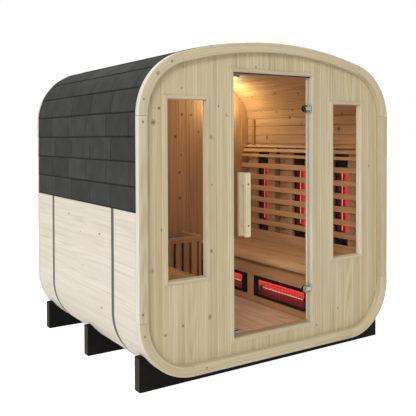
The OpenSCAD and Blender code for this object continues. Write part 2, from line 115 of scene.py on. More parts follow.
def roundedRect(width, height, r, steps=2, corners=(1, 1, 1, 1)):
    # Anticlockwise points of a rectangle round 0,0 whose corners, from lower right on, are arcs of radius r.
    out = []
    for k, (sx, sy, on) in enumerate(zip((1, 1, -1, -1), (-1, 1, 1, -1), corners)):
        cx, cy = sx * width / 2, sy * height / 2
        if on and r > 0:
            a = np.radians(np.linspace(-90, 0, steps + 1) + 90 * k)
            out.append(np.stack([cx - sx * r + r * np.cos(a), cy - sy * r + r * np.sin(a)], axis=1))
        else:
            out.append(np.array([[cx, cy]]))
    return np.concatenate(out)


def outward(points, faces):
    # Turns all faces of one closed part round if its volume comes out negative.
    volume = 0.0
    for f in faces:
        a = points[f[0]]
        for i in range(1, len(f) - 1):
            volume += float(np.dot(a, np.cross(points[f[i]], points[f[i + 1]])))
    return faces if volume > 0 else [f[::-1] for f in faces]


def prism(outline, span, axis):
    # A closed outline carried straight along an axis over a span, with flat ends.
    points = np.concatenate([np.insert(outline, "xyz".index(axis), place, axis=1) for place in span])
    return points, outward(points, gridFaces(2, len(outline)) + caps(2, len(outline)))


def bar(low, high, axis, r=2 * mm, seed=0.0, corners=(1, 1, 1, 1), ends=True, steps=2):
    # A straight bar: a rounded rectangle carried along an axis, with eased ends.
    low, high = np.array(low, float), np.array(high, float)
    a, b, c = axisOrder[axis]
    size, mid = high - low, (high + low) / 2
    e = r if ends else 0
    profile = roundedRect(size[b], size[c], r, steps, corners)
    shrink = np.array([1 - 2 * e / size[b], 1 - 2 * e / size[c]])
    rings = [(low[a], shrink), (low[a] + e, 1), (high[a] - e, 1), (high[a], shrink)] if e else [(low[a], 1),
                                                                                                (high[a], 1)]
    points = []
    for place, scale in rings:
        ring = np.zeros((len(profile), 3))
        ring[:, a] = place
        ring[:, b] = mid[b] + profile[:, 0] * (scale if np.isscalar(scale) else scale[0])
        ring[:, c] = mid[c] + profile[:, 1] * (scale if np.isscalar(scale) else scale[1])
        points.append(ring)
    n, k = len(rings), len(profile)
    points = np.concatenate(points)
    faces = gridFaces(n, k) + caps(n, k)
    faces = outward(points, faces)
    wide, thick = (b, c) if size[b] >= size[c] else (c, b)
    grain = np.stack([points[:, a], points[:, wide], points[:, thick]], axis=1) + seeded(seed)
    return points, faces, grain


def seeded(seed):
    # A shift of the grain that differs from board to board.
    return np.array([math.sin(seed * 12.9898) * 5.0, math.sin(seed * 4.1414) * 3.0, 7.31 * seed])


def lathe(centre, axis, profile, turns=40, seed=0.0):
    # A profile of (radius, height) pairs turned round an axis through centre, with flat ends.
    a, b, c = axisOrder[axis]
    profile = np.array(profile, float)
    angle = np.linspace(0, 2 * np.pi, turns, endpoint=False)
    n = len(profile)
    points = np.zeros((n, turns, 3))
    points[:, :, b] = profile[:, :1] * np.cos(angle)
    points[:, :, c] = profile[:, :1] * np.sin(angle)
    points[:, :, a] = profile[:, 1:2]
    points = points.reshape(-1, 3) + np.array(centre)
    faces = outward(points, gridFaces(n, turns) + caps(n, turns))
    return points, faces, points + seeded(seed)


cabin = {
    "halfWidth": 1.050, "halfDepth": 0.890, "bottom": 0.056, "crown": 2.140,
    "sideTop": 1.648, "lowRadius": 0.378, "highRadius": 0.402,
    "stave": 0.040, "ringDepth": 0.047, "wall": 0.040,
}
halfWidth, halfDepth = cabin["halfWidth"], cabin["halfDepth"]
lowX, lowZ = halfWidth - cabin["lowRadius"], cabin["bottom"] + cabin["lowRadius"]
highX, highZ = halfWidth - cabin["highRadius"], cabin["sideTop"]
rise = cabin["crown"] - highZ
crownRadius = (rise**2 + highX**2 - cabin["highRadius"]**2) / (2 * (rise - cabin["highRadius"]))
crownZ = cabin["crown"] - crownRadius
crownAngle = math.acos(highX / (crownRadius - cabin["highRadius"]))
wallFront = -halfDepth + cabin["ringDepth"]
roomFront = wallFront + cabin["wall"]
roomBack = -roomFront
roomDepth = roomBack - roomFront
# inner face of the side walls, and the clearance of pieces fitted between walls
sideFace, fit = halfWidth - cabin["stave"], 0.0003

# arc lengths of one half of the section, from the middle of the floor up to the crown
halfLengths = [lowX, cabin["lowRadius"] * math.pi / 2, highZ - lowZ,
               cabin["highRadius"] * crownAngle, crownRadius * (math.pi / 2 - crownAngle)]
halfMarks = np.concatenate([[0], np.cumsum(halfLengths)])
halfLength = halfMarks[-1]


def section(s):
    # Point (x, z) and outward normal on the section at arc length s from the middle of the floor, anticlockwise.
    s = np.mod(np.asarray(s, float), 2 * halfLength)
    left = s > halfLength
    t = np.where(left, 2 * halfLength - s, s)
    m = halfMarks
    a1 = -math.pi / 2 + (t - m[1]) / cabin["lowRadius"]
    a2 = (t - m[3]) / cabin["highRadius"]
    a3 = crownAngle + (t - m[4]) / crownRadius
    part = [t <= m[1], t <= m[2], t <= m[3], t <= m[4]]
    x = np.select(part, [t, lowX + cabin["lowRadius"] * np.cos(a1), halfWidth + 0 * t,
                         highX + cabin["highRadius"] * np.cos(a2)], crownRadius * np.cos(a3))
    z = np.select(part, [cabin["bottom"] + 0 * t, lowZ + cabin["lowRadius"] * np.sin(a1), lowZ + t - m[2],
                         highZ + cabin["highRadius"] * np.sin(a2)], crownZ + crownRadius * np.sin(a3))
    nx = np.select(part, [0 * t, np.cos(a1), 1 + 0 * t, np.cos(a2)], np.cos(a3))
    nz = np.select(part, [-1 + 0 * t, np.sin(a1), 0 * t, np.sin(a2)], np.sin(a3))
    side = np.where(left, -1, 1)
    return np.stack([side * x, z], axis=-1), np.stack([side * nx, nz], axis=-1)


def insideTop(x, inset):
    # Height of the section's upper edge, moved in by inset, over x.
    x = np.abs(x)
    r, rc = cabin["highRadius"] - inset, crownRadius - inset
    corner = highZ + np.sqrt(np.maximum(r**2 - np.maximum(x - highX, 0)**2, 0))
    crown = crownZ + np.sqrt(np.maximum(rc**2 - x**2, 0))
    return np.where(x > highX + r * math.cos(crownAngle), corner, crown)


def insideBottom(x, inset):
    # Height of the section's lower edge, moved in by inset, under x.
    r = cabin["lowRadius"] - inset
    return lowZ - np.sqrt(np.maximum(r**2 - np.maximum(np.abs(x) - lowX, 0)**2, 0))


def swept(s, profile, seed=0.0, closed=False, along="s"):
    # A closed profile of (inset, y) pairs carried round the section at arc lengths s; open ends get caps.
    # Grain runs along the path ("s") or along Y ("y").
    base, normal = section(s)
    profile = np.asarray(profile, float)
    points = np.zeros((len(s), len(profile), 3))
    points[:, :, 0] = base[:, None, 0] - normal[:, None, 0] * profile[None, :, 0]
    points[:, :, 2] = base[:, None, 1] - normal[:, None, 1] * profile[None, :, 0]
    points[:, :, 1] = profile[None, :, 1]
    grain = np.zeros_like(points)
    if along == "s":
        grain[:, :, 0] = np.asarray(s)[:, None]
        grain[:, :, 1] = profile[None, :, 0]
        grain[:, :, 2] = profile[None, :, 1]
    else:
        grain[:, :, 0] = profile[None, :, 1]
        grain[:, :, 1] = np.asarray(s)[:, None]
        grain[:, :, 2] = profile[None, :, 0]
    n, k = len(s), len(profile)
    points, grain = points.reshape(-1, 3), grain.reshape(-1, 3) + seeded(seed)
    faces = gridFaces(n, k, closedRows=closed)
    if not closed:
        faces += caps(n, k)
    return points, outward(points, faces), grain


def sectionBar(s, inset, y0, y1, seed=0.0, ease=0.0):
    # A bar along Y whose cross-section is the closed outline (s, inset) laid on the cabin's section.
    s, inset = np.asarray(s, float), np.asarray(inset, float)
    base, normal = section(s)
    flat = base - normal * inset[:, None]
    mid = flat.mean(axis=0)
    rings = [(y0, 1.0), (y1, 1.0)]
    if ease:
        tight = 1 - 2 * ease / 0.08
        rings = [(y0, tight), (y0 + ease, 1.0), (y1 - ease, 1.0), (y1, tight)]
    points = np.concatenate([np.stack([mid[0] + (flat[:, 0] - mid[0]) * k, 0 * s + y,
                                       mid[1] + (flat[:, 1] - mid[1]) * k], axis=1)
                             for y, k in rings])
    n, k = len(rings), len(s)
    faces = outward(points, gridFaces(n, k) + caps(n, k))
    grain = np.stack([points[:, 1], np.tile(s, n), np.tile(inset, n)], axis=1) + seeded(seed)
    return points, faces, grain


def linear(code, alpha=1.0):
    # sRGB hex to linear colour.
    c = np.array([int(code[i:i + 2], 16) / 255 for i in (0, 2, 4)])
    c = np.where(c <= 0.04045, c / 12.92, ((c + 0.055) / 1.055)**2.4)
    return (*c.tolist(), alpha)


def add(tree, kind, inputs=None, **settings):
    # A node with its settings; each input is a value or the socket that feeds it.
    made = tree.nodes.new(kind)
    for key, value in settings.items():
        setattr(made, key, value)
    for key, value in (inputs or {}).items():
        if isinstance(value, bpy.types.NodeSocket):
            tree.links.new(value, made.inputs[key])
        else:
            made.inputs[key].default_value = value
    return made


def material(name, **shader):
    # A new material, its node tree and its shader with fixed values on the shader's own sockets.
    made = bpy.data.materials.new(name)
    made.use_nodes = True
    tree = made.node_tree
    tree.nodes.clear()
    surface = add(tree, "ShaderNodeBsdfPrincipled", shader)
    add(tree, "ShaderNodeOutputMaterial", {"Surface": surface.outputs["BSDF"]})
    return made, tree, surface


def ramp(tree, fac, stops):
    # A colour ramp: stops are (position, linear colour).
    made = add(tree, "ShaderNodeValToRGB", {"Fac": fac})
    elements = made.color_ramp.elements
    while len(elements) < len(stops):
        elements.new(0.5)
    for element, (place, colour) in zip(elements, stops):
        element.position, element.color = place, colour
    return made.outputs["Color"]


def grainNumber(tree):
    # The grain attribute, and the whole number that its seed has given each board or strip.
    grain = add(tree, "ShaderNodeAttribute", attribute_name="grain", attribute_type="GEOMETRY").outputs["Vector"]
    depth = add(tree, "ShaderNodeSeparateXYZ", {"Vector": grain}).outputs["Z"]
    whole = add(tree, "ShaderNodeMath", {0: depth, 1: 0.1368}, operation="MULTIPLY").outputs[0]
    return grain, add(tree, "ShaderNodeMath", {0: whole}, operation="ROUND").outputs[0]


def wood(name, look, knotsAt=()):
    # Planed softwood: pale early wood, darker late-wood lines along the grain, brown knots with a soft rim.
    # Reads the grain attribute: metres along, across and into the board, shifted from board to board.
    made, tree, surface = material(name,
                                   **{"Roughness": look.get("roughness", 0.55),
                                      "Specular IOR Level": look.get("specular", 0.3)})
    # each board has its own number, and from it a tone, a tint and a strength of figure
    grain, whole = grainNumber(tree)
    own = add(tree, "ShaderNodeTexWhiteNoise", {"W": whole}, noise_dimensions="1D").outputs["Color"]
    own = add(tree, "ShaderNodeSeparateColor", {"Color": own}).outputs
    # growth rings: level lines of a stretched noise, which open into flames on some boards
    slow = add(tree, "ShaderNodeMapping", {"Vector": grain, "Scale": (0.45, 7.0, 7.0)}).outputs["Vector"]
    field = add(tree, "ShaderNodeTexNoise",
                {"Vector": slow, "Scale": 1.0, "Detail": 1.5, "Roughness": 0.4}).outputs["Fac"]
    rings = add(tree, "ShaderNodeMath", {0: field, 1: look.get("rings", 90.0)}, operation="MULTIPLY").outputs[0]
    rings = add(tree, "ShaderNodeMath", {0: rings}, operation="SINE").outputs[0]
    share = look.get("ringShare", 0.05)
    flame = add(tree, "ShaderNodeMapRange",
                {"Value": own["Blue"], "From Min": 0.35, "To Min": share * 0.25,
                 "To Max": share * 1.6}).outputs["Result"]
    # late-wood streaks about 14 mm wide and fibres 4 mm wide, both coarser than real ones so that they show
    wide = add(tree, "ShaderNodeMapping", {"Vector": grain, "Scale": (0.6, 18.0, 18.0)}).outputs["Vector"]
    wide = add(tree, "ShaderNodeTexNoise", {"Vector": wide, "Scale": 1.0, "Detail": 1.0}).outputs["Fac"]
    streak = add(tree, "ShaderNodeMapping", {"Vector": grain, "Scale": (0.8, 70.0, 70.0)}).outputs["Vector"]
    streak = add(tree, "ShaderNodeTexNoise",
                 {"Vector": streak, "Scale": 1.0, "Detail": 2.0, "Roughness": 0.6}).outputs["Fac"]
    quick = add(tree, "ShaderNodeMapping", {"Vector": grain, "Scale": (4.0, 240.0, 240.0)}).outputs["Vector"]
    fibre = add(tree, "ShaderNodeTexNoise",
                {"Vector": quick, "Scale": 1.0, "Detail": 2.0, "Roughness": 0.6}).outputs["Fac"]
    tone = add(tree, "ShaderNodeMath", {0: rings, 1: flame}, operation="MULTIPLY").outputs[0]
    for noise, weight in ((wide, 0.25), (streak, 0.45), (fibre, 0.30)):
        tone = add(tree, "ShaderNodeMath", {0: noise, 1: weight, 2: tone}, operation="MULTIPLY_ADD").outputs[0]
    colour = ramp(tree, tone,
                  [(0.36, linear(look["light"])), (0.52, linear(look["mid"])), (0.70, linear(look["dark"]))])
    spread = look.get("spread", 0.04)
    level = add(tree, "ShaderNodeMapRange",
                {"Value": own["Red"], "To Min": 1 - spread, "To Max": 1 + spread}).outputs["Result"]
    colour = add(tree, "ShaderNodeMix", {0: 1.0, 6: colour, 7: level}, data_type="RGBA",
                 blend_type="MULTIPLY").outputs[2]
    tint = add(tree, "ShaderNodeMath", {0: own["Green"], 1: look.get("tint", 0.5)}, operation="MULTIPLY").outputs[0]
    colour = add(tree, "ShaderNodeMix", {0: tint, 6: colour, 7: (1.0, 0.965, 0.90, 1.0)}, data_type="RGBA",
                 blend_type="MULTIPLY").outputs[2]
    # small knots: some of the cells of a sparse pattern hold one, 8 to 18 mm across
    flat = add(tree, "ShaderNodeMapping", {"Vector": grain, "Scale": (3.0, 8.0, 0.0)}).outputs["Vector"]
    cells = add(tree, "ShaderNodeTexVoronoi", {"Vector": flat, "Scale": 1.0}, voronoi_dimensions="2D")
    chance = add(tree, "ShaderNodeSeparateColor", {"Color": cells.outputs["Color"]})
    some = add(tree, "ShaderNodeMath", {0: chance.outputs["Red"], 1: 1 - look.get("knots", 0.1)},
               operation="GREATER_THAN").outputs[0]
    size = add(tree, "ShaderNodeMapRange",
               {"Value": chance.outputs["Green"], "To Min": 0.03, "To Max": 0.075}).outputs["Result"]
    reach = add(tree, "ShaderNodeMath", {0: cells.outputs["Distance"], 1: size}, operation="DIVIDE").outputs[0]
    knot = add(tree, "ShaderNodeMapRange",
               {"Value": reach, "From Min": 0.4, "From Max": 1.0, "To Min": 0.75, "To Max": 0.0},
               interpolation_type="SMOOTHSTEP").outputs["Result"]
    knot = add(tree, "ShaderNodeMath", {0: knot, 1: some}, operation="MULTIPLY").outputs[0]
    # chosen knots, each a soft ball where it meets the surface
    place = add(tree, "ShaderNodeTexCoord").outputs["Object"] if knotsAt else None
    for x, y, z, radius, strength in knotsAt:
        away = add(tree, "ShaderNodeVectorMath", {0: place, 1: (x, y, z)}, operation="DISTANCE").outputs["Value"]
        one = add(tree, "ShaderNodeMapRange",
                  {"Value": away, "From Min": radius * 0.35, "From Max": radius, "To Min": strength, "To Max": 0.0},
                  interpolation_type="SMOOTHSTEP").outputs["Result"]
        knot = add(tree, "ShaderNodeMath", {0: knot, 1: one}, operation="MAXIMUM").outputs[0]
    colour = add(tree, "ShaderNodeMix", {0: knot, 6: colour, 7: linear(look["knot"])}, data_type="RGBA").outputs[2]
    tree.links.new(colour, surface.inputs["Base Color"])
    height = add(tree, "ShaderNodeMath", {0: tone, 1: knot}, operation="SUBTRACT").outputs[0]
    bump = add(tree, "ShaderNodeBump",
               {"Height": height, "Strength": look.get("bump", 0.15), "Distance": 0.0005}).outputs["Normal"]
    tree.links.new(bump, surface.inputs["Normal"])
    return made


# knots in the front boards and the ring: across, up, radius, depth of colour
wallKnots = [(-0.929, 1.612, 0.026, 0.45), (-0.927, 1.608, 0.014, 0.9), (-0.888, 1.695, 0.012, 0.9),
             (-0.709, 1.949, 0.011, 0.95), (-0.463, 1.717, 0.011, 0.9),
             (-0.390, 1.655, 0.013, 0.7), (-0.402, 1.664, 0.008, 0.5), (-0.517, 1.522, 0.024, 0.35),
             (-0.517, 1.520, 0.012, 0.65), (-0.872, 0.966, 0.013, 0.7),
             (-0.941, 0.728, 0.024, 0.35), (-0.941, 0.726, 0.012, 0.65), (-0.517, 0.804, 0.015, 0.7),
             (-0.728, 0.365, 0.013, 0.75), (-0.851, 0.328, 0.012, 0.75),
             (-0.530, 0.389, 0.024, 0.4), (-0.530, 0.389, 0.013, 0.7), (-0.160, 1.980, 0.012, 0.6),
             (0.578, 0.279, 0.012, 0.7), (0.373, 0.189, 0.011, 0.7),
             (-0.511, 1.220, 0.011, 0.5), (-0.730, 1.820, 0.011, 0.5), (-0.310, 0.560, 0.012, 0.5),
             (0.900, 1.300, 0.013, 0.5)]
ringKnots = [(-1.020, 1.610, 0.011, 0.8), (-0.920, 1.898, 0.017, 0.55), (-0.824, 1.974, 0.010, 0.9),
             (-1.013, 1.743, 0.010, 0.7),
             (-1.027, 0.490, 0.011, 0.8), (-1.015, 0.359, 0.010, 0.7), (-0.585, 0.091, 0.010, 0.8),
             (0.056, 2.072, 0.011, 1.0)]
# knots in the oiled boards behind the door and the windows: across, along, up, radius, depth of colour
roomKnots = [(0.260, 0.803, 1.728, 0.019, 0.8), (0.355, 0.803, 1.724, 0.019, 0.8), (0.189, 0.803, 1.527, 0.020, 0.9),
             (0.439, 0.803, 1.568, 0.016, 0.8), (0.248, 0.803, 1.359, 0.015, 0.5), (0.232, 0.803, 1.201, 0.020, 0.6),
             (0.235, 0.803, 0.968, 0.021, 0.7), (0.897, 0.253, 1.910, 0.020, 0.8), (0.914, 0.304, 1.894, 0.014, 0.7),
             (0.916, -0.031, 1.892, 0.020, 0.6), (0.895, 0.546, 1.913, 0.015, 0.5), (0.916, 0.612, 1.891, 0.018, 0.6),
             (1.008, 0.182, 1.692, 0.022, 0.9), (1.010, 0.511, 1.515, 0.025, 0.8), (1.010, 0.031, 1.632, 0.025, 0.6),
             (1.010, -0.423, 1.583, 0.019, 1.0), (1.006, -0.463, 1.705, 0.017, 0.6),
             (0.996, 0.355, 1.748, 0.018, 0.6),
             (0.994, 0.574, 1.756, 0.014, 0.5), (0.993, 0.128, 1.757, 0.018, 0.6)]

pale = {"light": "D2C5A4", "mid": "C6B795", "dark": "B19C74", "knot": "6E4D2C", "spread": 0.06, "knots": 0.0}
boards = wood("planedSpruceBoards", pale, [(x, -0.843, z, r, k) for x, z, r, k in wallKnots])
# paler wood for the outer chamfers between boards: a painted highlight, as if their flanks caught the light
chamferHighlightWood = wood("chamferPaintedHighlight", {**pale, "light": "DACEB1", "mid": "CFC2A3", "dark": "C0B18E"})
# paler wood for the faces of the jambs and window frames that look along X: painted light, as if lit from the side
jambLitWood = wood("planedSpruceJambPaintedLight", {**pale, "light": "E6DCC6", "mid": "DED3BA", "dark": "D0C3A4"})
ringWood = wood("planedSpruceRing", {**pale, "light": "D0C4A6", "mid": "C5B797", "dark": "B5A37E", "spread": 0.03},
                [(x, -0.890, z, r, k) for x, z, r, k in ringKnots])
staveWood = wood("planedSpruceStaves",
                 {**pale, "light": "E0DACD", "mid": "D8D0C1", "dark": "C8BBA3", "spread": 0.03, "knots": 0.10})
roomWood = wood("oiledSpruceInside",
                {"light": "BC8F63", "mid": "AE8056", "dark": "996C45", "knot": "4A2A16", "spread": 0.09,
                                      "knots": 0.03, "roughness": 0.52, "bump": 0.06}, roomKnots)
stripWood = wood("oiledSpruceStrip",
                 {"light": "A87850", "mid": "966842", "dark": "805632", "knot": "4A2A16", "knots": 0.0,
                  "roughness": 0.52})
# darker wood for the backrest's ribs: painted shade
ribShadedWood = wood("spruceRibsPaintedShade",
               {"light": "A8825E", "mid": "966F4E", "dark": "80593C", "knot": "4A2A16", "knots": 0.0,
                "roughness": 0.55})
floorWood = wood("oiledSpruceFloor",
                 {"light": "CCA788", "mid": "BF9878", "dark": "A27C5E", "knot": "5A3620", "spread": 0.07,
                  "knots": 0.04,
                                      "roughness": 0.45})
handleWood = wood("sandedAspen", {**pale, "light": "DED2B4", "mid": "D4C7A6", "dark": "C4B48F"})
cradleWood = wood("blackStainedSpruce",
                  {"light": "151412", "mid": "0F0E0C", "dark": "0A0908", "knot": "060505", "spread": 0.05,
                                         "knots": 0.05, "roughness": 0.7, "specular": 0.1, "bump": 0.4})


def shingleMaterial():
    # Bitumen felt with mineral granules: dull, dark grey, each strip a little lighter or darker.
    made, tree, surface = material("bitumenFeltGranules", Roughness=0.86)
    surface.inputs["Specular IOR Level"].default_value = 0.1
    place = add(tree, "ShaderNodeTexCoord").outputs["Object"]
    # grit is about 1.5 mm; drawn at 4 mm so that it shows
    grit = add(tree, "ShaderNodeTexNoise",
               {"Vector": place, "Scale": 260.0, "Detail": 3.0, "Roughness": 0.7}).outputs["Fac"]
    cloud = add(tree, "ShaderNodeTexNoise",
                {"Vector": place, "Scale": 9.0, "Detail": 4.0, "Roughness": 0.6}).outputs["Fac"]
    grain, whole = grainNumber(tree)
    tab = add(tree, "ShaderNodeTexWhiteNoise", {"W": whole}, noise_dimensions="1D").outputs["Value"]
    tone = add(tree, "ShaderNodeMath", {0: grit, 1: 0.45, 2: 0.24}, operation="MULTIPLY_ADD").outputs[0]
    tone = add(tree, "ShaderNodeMath", {0: cloud, 1: 0.5, 2: tone}, operation="MULTIPLY_ADD").outputs[0]
    tone = add(tree, "ShaderNodeMath", {0: tab, 1: 0.20, 2: tone}, operation="MULTIPLY_ADD").outputs[0]
    colour = ramp(tree, tone, [(0.55, linear("30312E")), (0.80, linear("3A3B38")), (1.0, linear("464743"))])
    # the cut lower edge shows black bitumen, and painted shade darkens the strip just above it, drawing the shadow
    # line of each course
    edge = add(tree, "ShaderNodeSeparateXYZ", {"Vector": grain}).outputs["Y"]
    edge = add(tree, "ShaderNodeMapRange",
               {"Value": edge, "From Min": 0.005, "From Max": 0.013, "To Min": 0.9, "To Max": 0.0}).outputs["Result"]
    colour = add(tree, "ShaderNodeMix", {0: edge, 6: colour, 7: linear("141412")}, data_type="RGBA").outputs[2]
    tree.links.new(colour, surface.inputs["Base Color"])
    bump = add(tree, "ShaderNodeBump", {"Height": grit, "Strength": 0.4, "Distance": 0.001}).outputs["Normal"]
    tree.links.new(bump, surface.inputs["Normal"])
    return made


def metalMaterial(name, colour, rough, scratch=0.08, metallic=1.0, coarse=900.0, stretch=(1.0, 1.0, 1.0), shine=0.5):
    # Metal sheet or bar: even colour, roughness that wanders a little, very fine lines along one way.
    made, tree, surface = material(name, **{"Metallic": metallic, "Specular IOR Level": shine})
    place = add(tree, "ShaderNodeTexCoord").outputs["Object"]
    lines = add(tree, "ShaderNodeMapping", {"Vector": place, "Scale": stretch}).outputs["Vector"]
    noise = add(tree, "ShaderNodeTexNoise", {"Vector": lines, "Scale": coarse, "Detail": 2.0}).outputs["Fac"]
    wide = add(tree, "ShaderNodeTexNoise", {"Vector": place, "Scale": 14.0, "Detail": 3.0}).outputs["Fac"]
    shade = add(tree, "ShaderNodeMath", {0: noise, 1: 0.5, 2: wide}, operation="MULTIPLY_ADD").outputs[0]
    dark = tuple(0.82 * c for c in linear(colour)[:3]) + (1.0,)
    tree.links.new(ramp(tree, shade, [(0.45, dark), (1.0, linear(colour))]), surface.inputs["Base Color"])
    rough = add(tree, "ShaderNodeMapRange",
                {"Value": shade, "From Min": 0.4, "From Max": 1.1, "To Min": rough - scratch,
                 "To Max": rough + scratch}).outputs["Result"]
    tree.links.new(rough, surface.inputs["Roughness"])
    return made


def glassMaterial(name, colour, clear, rim):
    # Float glass as a thin sheet: seen through nearly everywhere and mirror-like only at a grazing angle.
    made, tree, surface = material(name, **{"Base Color": linear(colour), "Roughness": 0.02, "IOR": 1.45})
    slant = add(tree, "ShaderNodeLayerWeight", {"Blend": 0.5}).outputs["Facing"]
    slant = add(tree, "ShaderNodeMath", {0: slant, 1: 5.0}, operation="POWER").outputs[0]
    cover = add(tree, "ShaderNodeMapRange", {"Value": slant, "To Min": clear, "To Max": rim}).outputs["Result"]
    tree.links.new(cover, surface.inputs["Alpha"])
    return made


def glowMaterial(name, colour, strength, body="200404"):
    # Something hot: it shines by itself, a little unevenly along its length.
    made, tree, surface = material(name, Roughness=0.4)
    place = add(tree, "ShaderNodeTexCoord").outputs["Object"]
    noise = add(tree, "ShaderNodeTexNoise", {"Vector": place, "Scale": 18.0, "Detail": 2.0}).outputs["Fac"]
    tree.links.new(ramp(tree, noise, [(0.3, linear(body)), (0.7, linear(colour))]), surface.inputs["Base Color"])
    hot = ramp(tree, noise, [(0.25, tuple(0.75 * c for c in linear(colour)[:3]) + (1.0,)), (0.7, linear(colour))])
    tree.links.new(hot, surface.inputs["Emission Color"])
    surface.inputs["Emission Strength"].default_value = strength
    return made


def paintedReflectionMaterial(name, strength, stops):
    # Polished sheet behind a hot tube, with the tube's reflection painted on as a glow of its own: it shines red
    # where it would gather the tube's light and stays dark elsewhere.
    # The grain attribute's third number runs from -1 to 1 across the reflector; stops give the painted glow over it.
    made, tree, surface = material(name, Metallic=0.8, Roughness=0.3)
    surface.inputs["Base Color"].default_value = linear("4A2020")
    grain = add(tree, "ShaderNodeAttribute", attribute_name="grain", attribute_type="GEOMETRY").outputs["Vector"]
    across = add(tree, "ShaderNodeSeparateXYZ", {"Vector": grain}).outputs["Z"]
    place = add(tree, "ShaderNodeTexCoord").outputs["Object"]
    # rolling marks across the sheet, 8 mm apart so that they show, which break up the painted glow
    marks = add(tree, "ShaderNodeTexNoise", {"Vector": place, "Scale": 120.0, "Detail": 2.0}).outputs["Fac"]
    across = add(tree, "ShaderNodeMath", {0: marks, 1: 0.60, 2: across}, operation="MULTIPLY_ADD").outputs[0]
    across = add(tree, "ShaderNodeMapRange", {"Value": across, "From Min": -0.70, "From Max": 1.30}).outputs["Result"]
    tree.links.new(ramp(tree, across, [(at, linear(code)) for at, code in stops]), surface.inputs["Emission Color"])
    surface.inputs["Emission Strength"].default_value = strength
    return made


shingles = shingleMaterial()
bandSteel = metalMaterial("galvanisedSteelBand", "55504A", 0.50, metallic=0.85, coarse=300.0)
hingeSteel = metalMaterial("polishedSteelHinge", "A2A296", 0.26, coarse=700.0)
blackMetal = metalMaterial("blackEnamelledSheet", "0E0C0B", 0.42, metallic=0.0, coarse=500.0, shine=0.25)
heaterSteel = metalMaterial("brushedStainlessSheet", "9A9C9E", 0.34, coarse=900.0, stretch=(0.05, 0.05, 1.0))
clearGlass = glassMaterial("clearFloatGlass", "3A4440", 0.015, 0.6)
glassEdge = glassMaterial("floatGlassEdge", "A9BBAE", 0.80, 1.0)
catchPlastic = metalMaterial("paleCatchPlastic", "8A9088", 0.45, metallic=0.0, coarse=200.0)
satinSteel = metalMaterial("satinNickelDisc", "7A7A66", 0.34, coarse=400.0)
# end grain of the black-stained planks, painted much lighter than their faces: painted light on the ends
cradleEndLitGrain = metalMaterial("blackStainedEndGrainPaintedLight", "3E3C32", 0.75, metallic=0.0, coarse=300.0, stretch=(1.0, 1.0, 3.0),
                          shine=0.1)
blackRubber = metalMaterial("blackRubber", "121211", 0.75, metallic=0.0, coarse=400.0)
# dark grey-green rubber for the seal under the door head: painted shade
headShadeRubber = metalMaterial("greyGreenRubberPaintedShade", "3C3C2C", 0.7, metallic=0.0, coarse=400.0)
troughPaintedGlow = paintedReflectionMaterial("redTroughPaintedReflection", 1.3,
                               [(0.0, "4A1414"), (0.28, "802828"), (0.44, "B03434"), (0.54, "F4443C"),
                                                          (0.85, "EE3838"), (1.0, "9A2020")])
emitterPaintedGlow = paintedReflectionMaterial("redEmitterPaintedReflection", 1.0,
                                [(0.0, "801414"), (0.19, "B02828"), (0.26, "F43C40"), (0.40, "F43C40"),
                                 (0.46, "641818"),
                                                             (0.54, "501212"), (0.60, "782020"), (0.66, "401010"),
                                                             (1.0, "380C0C")])
tubeHot = glowMaterial("brightQuartzTube", "FFB890", 1.6)
emitterTubeHot = glowMaterial("pinkQuartzTube", "FF8874", 1.3)
lampGlow = glowMaterial("litOpalGlass", "FFE0A0", 2.0, body="FFF2D8")
print("materials ready")


def facesX(centres, normals):
    # Positive on faces that look along X.
    return np.abs(normals[:, 0]) - 0.9


cradle = {"length": 2.026, "thick": 0.068, "high": 0.208, "inset": 0.075, "ease": 0.004}


def cradlePlank(name, y0, node):
    # A plank on edge: its top edge dips to follow the cabin's underside.
    half, thick, r = cradle["length"] / 2, cradle["thick"], cradle["ease"]
    reach = lowX + cabin["lowRadius"] * math.sin(math.acos((lowZ - cradle["high"]) / cabin["lowRadius"]))
    x = np.concatenate([[-half, -half + r, -reach - r, -reach], np.linspace(-reach, reach, 61)[1:-1],
                        [reach, reach + r, half - r, half]])
    top = np.where(np.abs(x) >= reach, cradle["high"], insideBottom(x, -0.0004))
    top[[0, -1]] -= r
    low = np.where(np.abs(x) > half - r / 2, r, 0.0)
    outline = np.concatenate([np.stack([x, low], axis=1), np.stack([x, top], axis=1)[::-1]])
    rings = []
    for y, tight in ((y0, r), (y0 + r, 0), (y0 + thick - r, 0), (y0 + thick, r)):
        ring = outline.copy()
        ring[:, 0] = np.clip(ring[:, 0], -half + tight, half - tight)
        ring[:, 1] = np.where(ring[:, 1] > 0.03, ring[:, 1] - tight, ring[:, 1] + tight)
        rings.append(np.stack([ring[:, 0], np.full(len(ring), y), ring[:, 1]], axis=1))
    points = np.concatenate(rings)
    n, k = 4, len(outline)
    m = len(x)
    faces = gridFaces(n, k)
    for ringStart, turn in ((0, 1), ((n - 1) * k, -1)):
        for i in range(m - 1):
            quad = [ringStart + i, ringStart + i + 1, ringStart + k - 2 - i, ringStart + k - 1 - i]
            faces.append(quad[::-1] if turn > 0 else quad)
    faces = outward(points, faces)
    grain = np.stack([points[:, 0], points[:, 2], points[:, 1]], axis=1) + seeded(len(name) + y0)
    piece = addPiece(name, "cabin", [(points, faces, grain)], cradleWood, [node])
    # the plank ends get the lighter end grain: painted light
    finishFaces(piece, cradleEndLitGrain, facesX)


cradlePlank("cradleFront", -halfDepth + cradle["inset"], "cradle_front")
cradlePlank("cradleMiddle", -cradle["thick"] / 2, "cradle_middle")
cradlePlank("cradleRear", halfDepth - cradle["inset"] - cradle["thick"], "cradle_rear")
print("cradles made")


shell = {"stave": 0.081, "groove": 0.0016, "inside": 0.0046, "firstJoint": 0.02}


